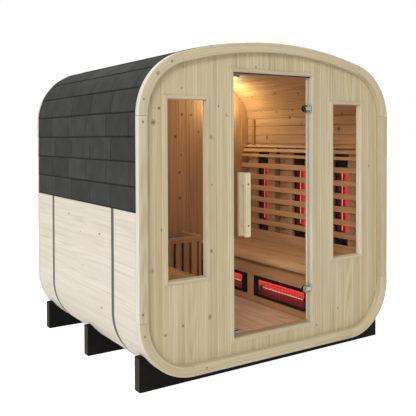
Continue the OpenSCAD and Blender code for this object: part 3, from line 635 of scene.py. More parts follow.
def staveRing():
    # Staves side by side round the section, each a bar along Y with eased long edges inside and out.
    count = int(round(2 * halfLength / shell["stave"]))
    marks = shell["firstJoint"] + 2 * halfLength * np.arange(count + 1) / count
    g, t, inside = shell["groove"], cabin["stave"], shell["inside"]
    parts = []
    for i in range(count):
        a, b = marks[i], marks[i + 1]
        outer = np.concatenate([[a - 0.0002], np.linspace(a + g, b - g, 6), [b + 0.0002]])
        outerInset = np.concatenate([[g], np.zeros(6), [g]])
        inner = np.concatenate([[b - 0.0005], np.linspace(b - inside, a + inside, 6), [a + 0.0005]])
        innerInset = np.concatenate([[t - inside], np.full(6, t), [t - inside]])
        parts.append(sectionBar(np.concatenate([outer, inner]), np.concatenate([outerInset, innerInset]),
                                wallFront, -wallFront, seed=i + 1))
    return parts


staves = addPiece("staves", "cabin", staveRing(), staveWood,
                  ["shell_floor", "shell_corners_low", "shell_sides", "shell_corners_high", "shell_roof"])
finishFaces(staves, roomWood, lambda centres,
            normals: -normals[:, 0] * centres[:, 0] - normals[:, 2] * (centres[:, 2] - 1.1) - 0.02)
print("staves made")


ring = {"width": 0.062, "depth": 0.047, "ease": 0.004, "gap": 0.0010, "raised": 0.030}


def ringPieces(y0, seed):
    # Eight pieces meeting where straight and curved parts of the section meet, or a little higher on the right.
    t, d = ring["width"], ring["depth"]
    profile = roundedRect(t, d, ring["ease"], 3) + np.array([t / 2, y0 + d / 2])
    L = 2 * halfLength
    m = halfMarks
    marks = [m[1], m[2] + ring["raised"], m[3] + ring["raised"], m[4], L - m[4], L - m[3], L - m[2], L - m[1],
             L + m[1]]
    parts = []
    for i in range(8):
        a, b = marks[i] + ring["gap"], marks[i + 1] - ring["gap"]
        steps = 3 if i == 5 else 5 if i == 7 else 36
        parts.append(swept(np.linspace(a, b, steps), profile, seed=seed + i))
    return parts


for name, y, seed in (("Front", -halfDepth, 3), ("Rear", halfDepth - ring["depth"], 17)):
    piece = addPiece("ring" + name, "cabin", ringPieces(y, seed), ringWood,
                     ["ring_%s_%s" % (name.lower(), part) for part in ("rails", "sides", "corners")])
    finishFaces(piece, staveWood, lambda centres,
                normals: normals[:, 0] * centres[:, 0] + normals[:, 2] * (centres[:, 2] - 1.1) - 0.45)
print("rings made")


door = {"shift": -0.012, "width": 0.672, "height": 1.722, "sill": 0.218, "frame": 0.024, "stop": 0.016,
        "proud": 0.010,
        "recess": 0.023, "glass": 0.008}
window = {"width": 0.284, "height": 1.108, "bottom": 0.646, "middle": 0.681, "frame": 0.020, "pane": 0.010,
          "lip": 0.006}
wallBoards = {"pitch": 0.080, "groove": 0.0038, "slope": 0.55, "backPitch": 0.079}
frameFront = wallFront - door["proud"]
wallInset = cabin["stave"] + fit


def boardPart(x0, x1, y0, y1, low, high, seed, left=1, right=1):
    # A board standing in the wall: its corners are eased where it meets the next board,
    # and its ends follow low(x) and high(x). The gap keeps two boards from sharing a face.
    g, gap = wallBoards["groove"], 0.00005
    profile = []
    for x, y, side, back in ((x0, y0, -1, -1), (x1, y0, 1, -1), (x1, y1, 1, 1), (x0, y1, -1, 1)):
        on = left if side < 0 else right
        xe = x - side * (gap if on else 0)
        if on:
            pair = [(xe, y - back * g * wallBoards["slope"]), (xe - side * g, y)]
            profile += pair if side * back > 0 else pair[::-1]
        else:
            profile.append((xe, y))
    profile = np.array(profile)
    # more columns across, so that curved ends are followed
    dense = []
    for i in range(len(profile)):
        a, b = profile[i], profile[(i + 1) % len(profile)]
        steps = 5 if abs(b[0] - a[0]) > 0.02 else 1
        dense += [a + (b - a) * k / steps for k in range(steps)]
    profile = np.array(dense)
    rings = [np.stack([profile[:, 0], profile[:, 1], f(profile[:, 0]) + 0 * profile[:, 0]], axis=1)
             for f in (low, high)]
    points = np.concatenate(rings)
    k = len(profile)
    faces = outward(points, gridFaces(2, k) + caps(2, k))
    grain = np.stack([points[:, 2], points[:, 0], points[:, 1]], axis=1) + seeded(seed)
    return points, faces, grain


def finishBoards(piece, out):
    # Oiled wood on the face to the room, and on the outer chamfers paler wood, a painted highlight as if their flanks
    # caught the light; out is the sign of Y outside the wall.
    finishFaces(piece, roomWood, lambda centres, normals: -out * normals[:, 1] - 0.5)
    finishFaces(piece, chamferHighlightWood, lambda centres,
                normals: np.minimum(np.abs(normals[:, 0]) - 0.25, out * normals[:, 1] - 0.3))


def flat(z):
    # An edge at one height for every x.
    return lambda x: np.full_like(np.asarray(x, float), z)


def frontBoards(x0, x1, y0, y1, pitch, shift, holes, lowest, highest, seed):
    # Boards from x0 to x1 with joints at shift plus whole pitches; holes are (x0, x1, z0, z1).
    joints = [shift + pitch * k for k in range(-40, 41) if x0 + 0.004 < shift + pitch * k < x1 - 0.004]
    edges = sorted(set([x0, x1] + joints + [h[i] for h in holes for i in (0, 1)]))
    parts = []
    for a, b in zip(edges[:-1], edges[1:]):
        if b - a < 1e-4:
            continue
        left, right = int(a in joints or a == x0), int(b in joints or b == x1)
        number = seed + math.floor(((a + b) / 2 - shift) / pitch)
        through = [h for h in holes if h[0] - 1e-6 <= a and b <= h[1] + 1e-6]
        if through:
            _, _, z0, z1 = through[0]
            parts.append(boardPart(a, b, y0, y1, lowest, flat(z0), number, left, right))
            parts.append(boardPart(a, b, y0, y1, flat(z1), highest, number, left, right))
        else:
            parts.append(boardPart(a, b, y0, y1, lowest, highest, number, left, right))
    return parts


lowEdge = lambda x: insideBottom(x, wallInset)
highEdge = lambda x: insideTop(x, wallInset)
doorEdge = door["width"] / 2 + door["frame"]
doorTop, doorLow = door["sill"] + door["height"] + door["frame"], door["sill"] - door["frame"]
wallReach = halfWidth - wallInset
doorX = door["shift"]
for side, label in ((-1, "left"), (1, "right")):
    x = doorX + side * window["middle"]
    reach = window["width"] / 2 + window["frame"]
    hole = (x - reach, x + reach, window["bottom"] - window["frame"],
            window["bottom"] + window["height"] + window["frame"])
    x0, x1 = (-wallReach, doorX - doorEdge) if side < 0 else (doorX + doorEdge, wallReach)
    piece = addPiece("frontBoards_" + label, "cabin",
                     frontBoards(x0, x1, wallFront, roomFront, wallBoards["pitch"], 0.012, [hole], lowEdge, highEdge,
                                 40),
                     boards, ["front_wall_" + label])
    finishBoards(piece, -1)
for place, low, high in (("over", flat(doorTop), highEdge), ("under", lowEdge, flat(doorLow))):
    piece = addPiece("frontBoards_" + place, "cabin",
                     frontBoards(doorX - doorEdge, doorX + doorEdge, wallFront, roomFront, wallBoards["pitch"], 0.012,
                                 [], low, high, 40),
                     boards, ["front_wall_%s_door" % place])
    finishBoards(piece, -1)
print("front wall made")

piece = addPiece("backBoards", "cabin",
                 frontBoards(-wallReach, wallReach, roomBack, roomBack + cabin["wall"], wallBoards["backPitch"],
                             0.062, [], lowEdge, highEdge, 140),
                 boards, ["back_wall"])
finishBoards(piece, 1)
print("back wall made")


stopFront = frameFront + door["recess"] + door["glass"] + 0.005
half = door["width"] / 2
jambs = []
for side in (-1, 1):
    x0, x1 = sorted((doorX + side * half, doorX + side * (half + door["frame"])))
    jambs.append(bar((x0, frameFront, doorLow), (x1, roomFront, doorTop), "z", 2 * mm, 60 + side, ends=False))
    x0, x1 = sorted((doorX + side * (half - door["stop"]), doorX + side * (half + 0.002)))
    jambs.append(bar((x0, stopFront, doorLow + 0.02), (x1, roomFront - 0.0005, doorTop - 0.02), "z", 1.5 * mm,
                     62 + side))
piece = addPiece("doorJambs", "cabin", jambs, ringWood, ["door_jambs"])
# faces that look along X get the paler wood: painted light
finishFaces(piece, jambLitWood, facesX)
rails = {"doorHead": (door["sill"] + door["height"], 1), "doorSill": (door["sill"], -1)}
left, right = doorX - half, doorX + half
for name, (z, up) in rails.items():
    z0, z1 = sorted((z, z + up * door["frame"]))
    lip = sorted((z - up * door["stop"], z + up * 0.002))
    piece = addPiece(name, "cabin",
             [bar((left + fit, frameFront, z0), (right - fit, roomFront - 0.0004, z1), "x", 2 * mm, 70 + z),
              bar((left + door["stop"], stopFront, lip[0]), (right - door["stop"], roomFront - 0.001, lip[1]), "x",
                  1.5 * mm, 71 + z)],
             ringWood, ["door_head" if up > 0 else "door_sill"])
    finishFaces(piece, roomWood, lambda centres, normals: centres[:, 1] - stopFront + 0.001)

for side, label in ((-1, "left"), (1, "right")):
    w, h, f = window["width"] / 2, window["height"], window["frame"]
    x, z = doorX + side * window["middle"], window["bottom"]
    pieces = []
    for s in (-1, 1):
        x0, x1 = sorted((x + s * w, x + s * (w + f)))
        pieces.append(bar((x0, frameFront, z - f), (x1, roomFront, z + h + f), "z", 2 * mm, 80 + s + side))
    for s, z0 in ((-1, z - f), (1, z + h)):
        pieces.append(bar((x - w - 0.0005, frameFront + 0.0004, z0), (x + w + 0.0005, roomFront - 0.0004, z0 + f),
                          "x", 2 * mm, 84 + s + side))
    paneY = roomFront - 0.005 - window["pane"]
    # beads that hold the pane, in front of it and behind it
    for y0, y1 in ((paneY - 0.009, paneY - 0.0005), (paneY + window["pane"] + 0.0005, roomFront - 0.001)):
        for s in (-1, 1):
            x0, x1 = sorted((x + s * (w - 0.003), x + s * (w + 0.002)))
            pieces.append(bar((x0, y0, z), (x1, y1, z + h), "z", 0.8 * mm, 90 + s))
        for z0 in (z - 0.002, z + h - 0.003):
            pieces.append(bar((x - w, y0, z0), (x + w, y1, z0 + 0.005), "x", 0.8 * mm, 92))
    piece = addPiece("windowFrame_" + label, "cabin", pieces, ringWood, ["window_frame_" + label])
    # faces that look along X get the paler wood: painted light
    finishFaces(piece, jambLitWood, facesX)
    lip = window["lip"]
    addSheet("windowPane_" + label, "cabin", (x - w - lip, paneY, z - lip),
             (x + w + lip, paneY + window["pane"], z + h + lip),
             "window_pane_" + label)
print("frames and windows made")


band = {"width": 0.036, "thick": 0.0012, "inset": 0.361}
loops = []
for side in (-1, 1):
    y = side * (halfDepth - band["inset"])
    profile = roundedRect(band["thick"], band["width"], 0.0005, 1) + np.array([-band["thick"] / 2, y])
    s = np.linspace(0, 2 * halfLength, 260, endpoint=False)
    loops.append(swept(s, profile, closed=True))
addPiece("steelBands", "cabin", loops, bandSteel, ["steel_bands"])
print("bands made")


roofing = {"eave": 1.080, "course": 0.147, "butt": 0.005, "head": 0.003, "lap": 0.008, "ridge": 0.290,
           "tab": 0.328, "gap": 0.006, "oddStart": 0.047, "evenStart": 0.116, "ridgeTab": 0.245}
roofY0 = wallFront - roofing["lap"]
eaveMark = halfMarks[2] + (roofing["eave"] - lowZ)
ridgeMark = halfLength - roofing["ridge"] / 2


def tab(s0, s1, y0, y1, low, high, seed, turned=False, n=7):
    # A strip of shingle lying on the section from s0 up to s1: thick at its lower edge, thin at its upper one.
    s = np.linspace(s0, s1, n)
    top = -(low + (high - low) * (s - s0) / (s1 - s0))
    e = 0.0012
    under = np.full(n, -0.0004)
    line = np.concatenate([[s0, s0 + e], s[1:], s[::-1]])
    inset = np.concatenate([[top[0] + e, top[0]], top[1:], under])
    points, faces, grain = sectionBar(2 * halfLength - line if turned else line, inset, y0, y1, seed)
    # the grain's second number is the distance up from the lower edge
    grain[:, 1] = np.tile(line, 2) - s0
    return points, faces, grain


random = np.random.default_rng(7)
for turned, label in ((True, "left"), (False, "right")):
    parts, s0, row = [], eaveMark, 0
    # black felt, which shows in the gaps between the tabs; its black also stands in for the shade in the gaps:
    # painted shade
    addPiece("underfeltGapShade_" + label, "cabin",
             [tab(eaveMark + 0.002, ridgeMark, roofY0 + 0.002, -roofY0 - 0.002, 0.0018, 0.0018, 1, turned, 80)],
             blackRubber)
    while s0 < ridgeMark - 0.01:
        s1 = min(s0 + roofing["course"], ridgeMark)
        start = -halfDepth + (roofing["oddStart"] if row % 2 == 0 else roofing["evenStart"])
        cuts = [roofY0] + [start + roofing["tab"] * k for k in range(7)
                           if roofY0 + 0.03 < start + roofing["tab"] * k < -roofY0 - 0.03] + [-roofY0]
        for a, b in zip(cuts[:-1], cuts[1:]):
            g0 = 0 if a == roofY0 else roofing["gap"] / 2
            g1 = 0 if b == -roofY0 else roofing["gap"] / 2
            lift = float(random.uniform(-0.0004, 0.0))
            slip = float(random.uniform(-0.0012, 0.0012)) if row else 0.0
            parts.append(tab(s0 + slip, s1 + 0.001, a + g0, b - g1, roofing["butt"] + lift, roofing["head"] + lift,
                             seed=float(random.integers(2, 900)), turned=turned))
        s0, row = s0 + roofing["course"], row + 1
    addPiece("shingles_" + label, "cabin", parts, shingles, ["roofing_" + label])

# caps along the ridge: each laps the one behind it
parts, y = [], roofY0
while y < -roofY0 - 0.02:
    y1 = min(y + roofing["ridgeTab"], -roofY0)
    n = 9
    s = np.linspace(ridgeMark, 2 * halfLength - ridgeMark, n)
    line = np.concatenate([s, s[::-1]])
    inset = np.concatenate([np.full(n, 0.0003 - roofing["butt"]), np.full(n, -0.0004)])
    p, f, g = sectionBar(line, inset, y, y1, seed=float(random.integers(2, 900)))
    # the back edge of each cap dips under the next one
    k = 2 * n
    backRing = np.arange(k, 2 * k)
    topBack = backRing[:n]
    base, normal = section(s)
    p[topBack, 0] -= normal[:, 0] * 0.0024
    p[topBack, 2] -= normal[:, 1] * 0.0024
    g = np.stack([g[:, 1], p[:, 1] - y, g[:, 2]], axis=1)
    parts.append((p, f, g))
    y = y1
addPiece("ridgeCaps", "cabin", parts, shingles, ["ridge_cap"])
print("roofing made")


floor = {"top": 0.170, "thick": 0.028, "board": 0.088, "gap": 0.004, "ease": 3 * mm, "joist": 0.060, "joistStep": 0.4}
seat = {"top": 0.564, "front": 0.387, "thick": 0.028, "nosing": 0.045, "boards": 6, "boardGap": 0.004,
        "battens": 4, "batten": 0.040, "battenIn": 0.060, "skirtBack": 0.043, "skirt": 0.020, "skirtBoard": 0.1151}
y0, y1 = roomFront + 0.002, roomBack - 0.002
pitch = floor["board"] + floor["gap"]
parts = [bar((i * pitch + floor["gap"] / 2, y0, floor["top"] - floor["thick"]),
             ((i + 1) * pitch - floor["gap"] / 2, y1, floor["top"]), "y", floor["ease"], 200 + i)
         for i in range(-8, 8)]
joistTop, joistLow = floor["top"] - floor["thick"], cabin["bottom"] + cabin["stave"]
for k in (-1, 0, 1):
    # three joists, spaced by a share of the room's depth
    y, side = k * roomDepth * floor["joistStep"], floor["joist"] / 2
    parts.append(bar((-lowX, y - side, joistLow), (lowX, y + side, joistTop), "x", 2 * mm, 220 + k))
addPiece("floorBoards", "cabin", parts, floorWood, ["floor_deck"])


def mirrored(parts):
    # The same parts on the other side of the middle, turned so that faces still point out.
    return [(p * np.array([-1, 1, 1]), [f[::-1] for f in faces], g + np.array([0.7, 0.3, 0.0])) for p, faces,
            g in parts]


seatBack = sideFace - fit
under = seat["top"] - seat["thick"]
bench = [bar((seat["front"], y0, seat["top"] - seat["nosing"]), (seat["front"] + seat["thick"], y1, seat["top"]), "y",
             5 * mm, 240, steps=3)]
benchPitch = (seatBack - seat["front"] - seat["thick"]) / seat["boards"]
for i in range(seat["boards"]):
    x = seat["front"] + seat["thick"] + i * benchPitch
    bench.append(bar((x + seat["boardGap"], y0, under), (x + benchPitch, y1, seat["top"]), "y", 3 * mm, 241 + i))
battenSpan = y1 - y0 - 2 * seat["battenIn"] - seat["batten"]
for k in range(seat["battens"]):
    y = y0 + seat["battenIn"] + k * battenSpan / (seat["battens"] - 1)
    bench.append(bar((seat["front"] + 0.064, y, under - seat["nosing"]), (seatBack, y + seat["batten"], under), "x",
                     2 * mm, 250 + k))
bench.append(bar((seatBack - seat["batten"], y0, under - seat["nosing"] + 0.0005), (seatBack, y1, under), "y", 2 * mm,
                 255))
addPiece("benchRight", "cabin", bench, roomWood, ["bench_right"])
addPiece("benchLeft", "cabin", mirrored(bench), roomWood, ["bench_left"])

skirtX = seat["front"] + seat["skirtBack"]
skirtTop = under - 0.0205
heater = {"length": 0.680, "high": 0.165, "middle": 0.313, "off": 0.386}
holes = [(s * heater["off"] - heater["length"] / 2 + 0.015, s * heater["off"] + heater["length"] / 2 - 0.015)
         for s in (-1, 1)]
holeLow, holeHigh = heater["middle"] - heater["high"] / 2 + 0.015, heater["middle"] + heater["high"] / 2 - 0.015
skirtRight = [bar((skirtX, y0, floor["top"]), (skirtX + seat["skirt"], y1, holeLow), "y", 1.5 * mm, 260),
              bar((skirtX, y0, holeHigh), (skirtX + seat["skirt"], y1, skirtTop), "y", 1.5 * mm, 260.2)]
for a, b in ((y0, holes[0][0]), (holes[0][1], holes[1][0]), (holes[1][1], y1)):
    skirtRight.append(bar((skirtX, a, holeLow), (skirtX + seat["skirt"], b, holeHigh), "y", 0.3 * mm, 261,
                          ends=False))
addPiece("skirtRight", "cabin", skirtRight, roomWood, ["skirt_right"])
step = seat["skirtBoard"]
skirtBoards = [bar((-skirtX - seat["skirt"], y0, floor["top"] + k * step),
                   (-skirtX, y1, floor["top"] + (k + 1) * step), "y", 2 * mm, 270 + k)
               for k in range(3)]
addPiece("skirtLeft", "cabin", skirtBoards, roomWood, ["skirt_left"])
print("floor and benches made")


def rod(a, b, radius, sides=10, seed=0.0):
    # A round rod between two points along one axis.
    a, b = np.array(a, float), np.array(b, float)
    axis = "xyz"[int(np.argmax(np.abs(b - a)))]
    low, high = np.minimum(a, b), np.maximum(a, b)
    i = "xyz".index(axis)
    low2, high2 = low - radius, high + radius
    low2[i], high2[i] = low[i], high[i]
    length = high[i] - low[i]
    e = min(radius * 0.4, length * 0.2)
    mid = (low + high) / 2
    mid[i] = low[i]
    return lathe(mid, axis, [(radius - e, 0), (radius, e), (radius, length - e), (radius - e, length)], sides, seed)


def paintedGlowGrain(points, across, reach, darker=0.0):
    # Grain for a reflector's painted glow: its third number is the distance across over the reach, less a share that
    # darkens the painted glow.
    grain = points.copy()
    grain[:, 2] = across / reach - darker
    return grain


heaterX = skirtX - 0.006
trough = {"length": heater["length"] - 0.134, "radius": 0.0575, "wire": 0.0017, "across": 0.0150, "along": 0.0180,
          "tube": 0.0040}
frames, troughs, tubes, grilles = [], [], [], []
for s in (-1, 1):
    yc, zc = s * heater["off"], heater["middle"]
    L, H, T, R = heater["length"], heater["high"], trough["length"], trough["radius"]
    # black sheet frame with a raised rim, round the trough's mouth
    for z0, z1 in ((zc - H / 2, zc - R), (zc + R, zc + H / 2)):
        frames.append(bar((heaterX, yc - L / 2, z0), (skirtX, yc + L / 2, z1), "y", 1.5 * mm))
    for a0, a1 in ((yc - L / 2, yc - T / 2), (yc + T / 2, yc + L / 2)):
        frames.append(bar((heaterX, a0, zc - R - 0.001), (skirtX, a1, zc + R + 0.001), "z", 1.0 * mm))
    for z0 in (zc - H / 2, zc + H / 2 - 0.006):
        frames.append(bar((heaterX, yc - L / 2, z0), (skirtX, yc + L / 2, z0 + 0.006), "y", 2 * mm))
    # reflector: half a cylinder, open to the front, with its wall 1 mm thick; its painted glow changes with height
    t = np.linspace(-np.pi / 2, np.pi / 2, 22)
    arc = np.stack([np.cos(t), np.sin(t)], axis=1)
    outline = np.concatenate([arc * (R - 0.001), arc[::-1] * R])
    mouth = np.array([heaterX + 0.001, zc])
    points, faces = prism(outline + mouth, (yc - T / 2, yc + T / 2), "y")
    troughs.append((points, faces, paintedGlowGrain(points, points[:, 2] - zc, R)))
    # half discs close the trough's ends, with a darker painted glow
    for y in (yc - T / 2 - 0.001, yc + T / 2):
        disc = np.concatenate([arc * R, [[0.0, 0.0]]])
        points, faces = prism(disc + mouth, (y, y + 0.001), "y")
        troughs.append((points, faces, paintedGlowGrain(points, points[:, 2] - zc, R, 0.25)))
    tubes.append(rod((heaterX + 0.020, yc - T / 2 + 0.028, zc), (heaterX + 0.020, yc + T / 2 - 0.028, zc),
                     trough["tube"], 14))
    for y in (yc - T / 2 + 0.0005, yc + T / 2 - 0.0305):
        grilles.append(rod((heaterX + 0.020, y, zc), (heaterX + 0.020, y + 0.030, zc), 0.009, 14))
    # guard wires over the mouth, thicker and wider apart than the real ones so that they show
    w = trough["wire"]
    for z in np.arange(zc - R + 0.006, zc + R - 0.004, trough["across"]):
        grilles.append(rod((heaterX + 0.0022, yc - T / 2 - 0.004, z), (heaterX + 0.0022, yc + T / 2 + 0.004, z), w,
                           6))
    for y in np.arange(yc - T / 2 + 0.006, yc + T / 2 - 0.004, trough["along"]):
        grilles.append(rod((heaterX + 0.0022, y, zc - R - 0.003), (heaterX + 0.0022, y, zc + R + 0.003), w, 6))
addPiece("skirtHeaterFrames", "cabin", frames, blackMetal, ["skirt_heaters"])
addPiece("skirtHeaterTroughs", "cabin", troughs, troughPaintedGlow)
addPiece("skirtHeaterTubes", "cabin", tubes, tubeHot)
addPiece("skirtHeaterWires", "cabin", grilles, blackMetal)


rest = {"depth": 0.080, "top": 1.443, "bendZ": 1.295, "bendR": 0.260, "pitch": 0.500, "emitter": 0.160,
        "rail": 0.020, "railHigh": 0.045, "railPitch": 0.104}
restX = halfWidth - cabin["stave"] - rest["depth"]
bendX = restX + rest["bendR"]


def restFront(z, t):
    # Distance from the middle of the cabin of the backrest's face, moved back by t, at height z.
    z = np.asarray(z, float)
    up = np.maximum(z - rest["bendZ"], 0)
    return bendX - np.sqrt((rest["bendR"] - t)**2 - np.minimum(up, rest["bendR"] - t)**2)


def restRail(z0, z1, seed):
    # A rail along Y whose front and back follow the backrest's curve, with eased edges.
    e, n = 0.003, 7
    z = np.linspace(z0 + e, z1 - e, n)
    front = np.stack([restFront(z, 0), z], axis=1)
    back = np.stack([restFront(z, rest["rail"]), z], axis=1)
    outline = np.concatenate([[[front[0, 0] + e, z0]], front, [[front[-1, 0] + e, z1]],
                              [[back[-1, 0] - e * 0.5, z1]], back[::-1], [[back[0, 0] - e * 0.5, z0]]])
    points, faces = prism(outline, (y0, y1), "y")
    return points, faces, np.stack([points[:, 1], points[:, 2], points[:, 0]], axis=1) + seeded(seed)


levels = [(seat["top"] + fit, seat["top"] + 0.092)]
levels += [(rest["bendZ"] - 0.0645 - i * rest["railPitch"],
            rest["bendZ"] - 0.0645 - i * rest["railPitch"] + rest["railHigh"]) for i in range(6)]
levels += [(rest["bendZ"] + 0.038, rest["bendZ"] + 0.065), (rest["bendZ"] + 0.086, rest["bendZ"] + 0.116),
           (rest["top"] - 0.019, rest["top"])]
addPiece("backrestRails", "cabin", [restRail(a, b, 300 + i) for i, (a, b) in enumerate(levels)],
         roomWood, ["backrest_rails"])

ribWidth = (rest["pitch"] - rest["emitter"]) / 2 - 0.072
ribs = []
for e in (-1, 0, 1):
    for s in (-1, 1):
        y = e * rest["pitch"] + s * (rest["emitter"] + ribWidth) / 2
        z = np.concatenate([[seat["top"] + fit], np.linspace(rest["bendZ"], rest["top"] - 0.001, 8)])
        front = np.stack([restFront(z, rest["rail"] + 0.0004), z], axis=1)
        wall = np.full(len(z), sideFace - 0.0004)
        outline = np.concatenate([front, np.stack([wall, z], axis=1)[::-1]])
        points, faces = prism(outline, (y - ribWidth / 2, y + ribWidth / 2), "y")
        ribs.append((points, faces,
                     np.stack([points[:, 2], points[:, 1], points[:, 0]], axis=1) + seeded(320 + e * 2 + s)))
# the ribs' darker wood is painted shade
addPiece("backrestRibs", "cabin", ribs, ribShadedWood, ["backrest_ribs"])

# emitters: black casing, a reflector that folds in two troughs and carries a painted reflection of the tube, one
# upright tube and a guard of fine wires
emitter = {"front": restX + 0.042, "low": seat["top"] + 0.076, "high": rest["bendZ"] + 0.095,
           "glowLow": rest["bendZ"] - 0.545, "glow": 0.490,
           "tubeOff": 0.015, "tube": 0.0033, "wire": 0.0010, "pitch": 0.016}
cases, glows, tubes, wires = [], [], [], []
for e in (-1, 0, 1):
    yc, w = e * rest["pitch"], rest["emitter"] / 2 - 0.0004
    x0, x1 = emitter["front"], sideFace - 0.0004
    g0, g1 = emitter["glowLow"], emitter["glowLow"] + emitter["glow"]
    cases.append(bar((x0, yc - w, emitter["low"]), (x1, yc + w, g0), "z", 1.5 * mm))
    cases.append(bar((x0, yc - w, g1), (x1, yc + w, emitter["high"]), "z", 1.5 * mm))
    for s in (-1, 1):
        a, b = sorted((yc + s * w, yc + s * (w - 0.006)))
        cases.append(bar((x0, a, g0 - 0.001), (x1, b, g1 + 0.001), "z", 1.5 * mm))
    # reflector: x(t) = depth of a cosine over -1..1 across the casing
    n = 29
    t = np.linspace(-1, 1, n)
    face = np.stack([x1 - 0.014 + 0.010 * np.cos(t * 2 * np.pi) * -1.0, yc + t * (w - 0.007)], axis=1)
    back = np.stack([np.full(n, x1 - 0.001), yc + t * (w - 0.007)], axis=1)[::-1]
    outline = np.concatenate([face, back])
    points, faces = prism(outline, (g0, g1), "z")
    glows.append((points, faces, paintedGlowGrain(points, points[:, 1] - yc, w)))
    yt = yc + emitter["tubeOff"]
    tubes.append(rod((x0 + 0.014, yt, g0 + 0.012), (x0 + 0.014, yt, g1 - 0.012), emitter["tube"], 14))
    for z in (g0, g1 - 0.014):
        cases.append(rod((x0 + 0.014, yt, z), (x0 + 0.014, yt, z + 0.014), 0.008, 14))
    for y in np.arange(yc - w + 0.012, yc + w - 0.008, emitter["pitch"]):
        wires.append(rod((x0 + 0.0022, y, g0 - 0.002), (x0 + 0.0022, y, g1 + 0.002), emitter["wire"], 6))
    for z in np.arange(g0 + 0.006, g1, emitter["pitch"]):
        wires.append(rod((x0 + 0.0022, yc - w + 0.003, z), (x0 + 0.0022, yc + w - 0.003, z), emitter["wire"], 6))
addPiece("emitterCases", "cabin", cases, blackMetal, ["infrared_emitters"])
addPiece("emitterReflectors", "cabin", glows, emitterPaintedGlow)
addPiece("emitterTubes", "cabin", tubes, emitterTubeHot)
addPiece("emitterWires", "cabin", wires, blackMetal)
print("infrared heating made")


guard = {"width": 0.530, "depth": 0.309, "top": 0.663, "panel": 0.020, "slot": 0.024, "pitch": 0.077,
         "firstSlot": 0.039}
guardY = roomBack - guard["depth"]
slotLow, slotTop = floor["top"] + 0.060, guard["top"] - 0.047
parts = []


def slatted(span0, span1, centres, make):
    # Rails above and below, and the strips of board left between slots.
    out = [make(span0, span1, floor["top"], slotLow, False), make(span0, span1, slotTop, guard["top"], False)]
    edges = [span0] + [c + s * guard["slot"] / 2 for c in centres for s in (-1, 1)] + [span1]
    for a, b in zip(edges[::2], edges[1::2]):
        out.append(make(a, b, slotLow, slotTop, True))
    return out


gx = guard["width"] / 2
p = guard["panel"]
fronts = slatted(-gx, gx,
                 [guard["pitch"] * i for i in range(-3, 4) if abs(guard["pitch"] * i) + guard["slot"] / 2 <= gx - p],
                 lambda a, b, z0, z1,
                 up: bar((a, guardY, z0), (b, guardY + p, z1), "z" if up else "x", 1.5 * mm, 350 + a * 10,
                         ends=not up))
sides = []
for s in (-1, 1):
    x0, x1 = sorted((s * gx, s * (gx - p)))
    sides += slatted(guardY + p, roomBack,
                     [guardY + guard["firstSlot"] + guard["pitch"] * i + guard["slot"] / 2 for i in range(3)],
                     lambda a, b, z0, z1,
                     up: bar((x0, a, z0), (x1, b, z1), "z" if up else "y", 1.5 * mm, 360 + s + a * 10, ends=not up))
addPiece("heaterGuard", "cabin", fronts + sides, roomWood, ["heater_guard"])

stove = {"width": 0.350, "depth": 0.230, "bottom": floor["top"] + 0.030, "high": 0.420, "sheet": 0.004, "leg": 0.022}
sy = guardY + 0.050
sx, st = stove["width"] / 2, stove["sheet"]
zTop = stove["bottom"] + stove["high"]
z0, syEnd = stove["bottom"], sy + stove["depth"]
# four sheet sides, then the tray under the stones
parts = [bar((xa, ya, z0), (xb, yb, zTop), "z", 1.2 * mm)
         for xa, ya, xb, yb in ((-sx, sy, sx, sy + st), (-sx, syEnd - st, sx, syEnd),
                                (-sx, sy + st, -sx + st, syEnd - st), (sx - st, sy + st, sx, syEnd - st))]
parts.append(bar((-sx + st, sy + st, zTop - 0.064), (sx - st, syEnd - st, zTop - 0.060), "x", 1 * mm))
leg = stove["leg"]
for x in (-sx, sx - leg):
    for y in (sy, sy + stove["depth"] - leg):
        parts.append(bar((x, y, floor["top"]), (x + leg, y + leg, stove["bottom"] + 0.002), "z", 2 * mm))
addPiece("saunaHeater", "cabin", parts, heaterSteel, ["sauna_heater"])


def stone(centre, size, generator):
    # A lump: a sphere of latitude rings whose radius wanders with a few random waves, closed at both poles.
    rows, turns = 7, 12
    theta = np.linspace(0, np.pi, rows)[1:-1, None]
    phi = np.linspace(0, 2 * np.pi, turns, endpoint=False)[None, :]
    direction = np.stack([np.sin(theta) * np.cos(phi), np.sin(theta) * np.sin(phi), np.cos(theta) + 0 * phi],
                         axis=-1).reshape(-1, 3)
    direction = np.concatenate([direction, [[0, 0, 1], [0, 0, -1]]])
    waves = generator.normal(size=(5, 3)) * 1.6
    phase = generator.uniform(0, 6.28, 5)
    wander = 1 + 0.10 * np.sin(direction @ waves.T + phase).sum(axis=1) / 1.6
    points = direction * wander[:, None] * np.array(size) / 2
    turn = generator.uniform(0, 6.28)
    c, q = math.cos(turn), math.sin(turn)
    points = points @ np.array([[c, q, 0], [-q, c, 0], [0, 0, 1]]) + np.array(centre)
    n = rows - 2
    faces = gridFaces(n, turns)
    north, south = n * turns, n * turns + 1
    faces += [[north, (i + 1) % turns, i] for i in range(turns)]
    faces += [[south, (n - 1) * turns + i, (n - 1) * turns + (i + 1) % turns] for i in range(turns)]
    return points, outward(points, faces), points + seeded(centre[0] * 50)


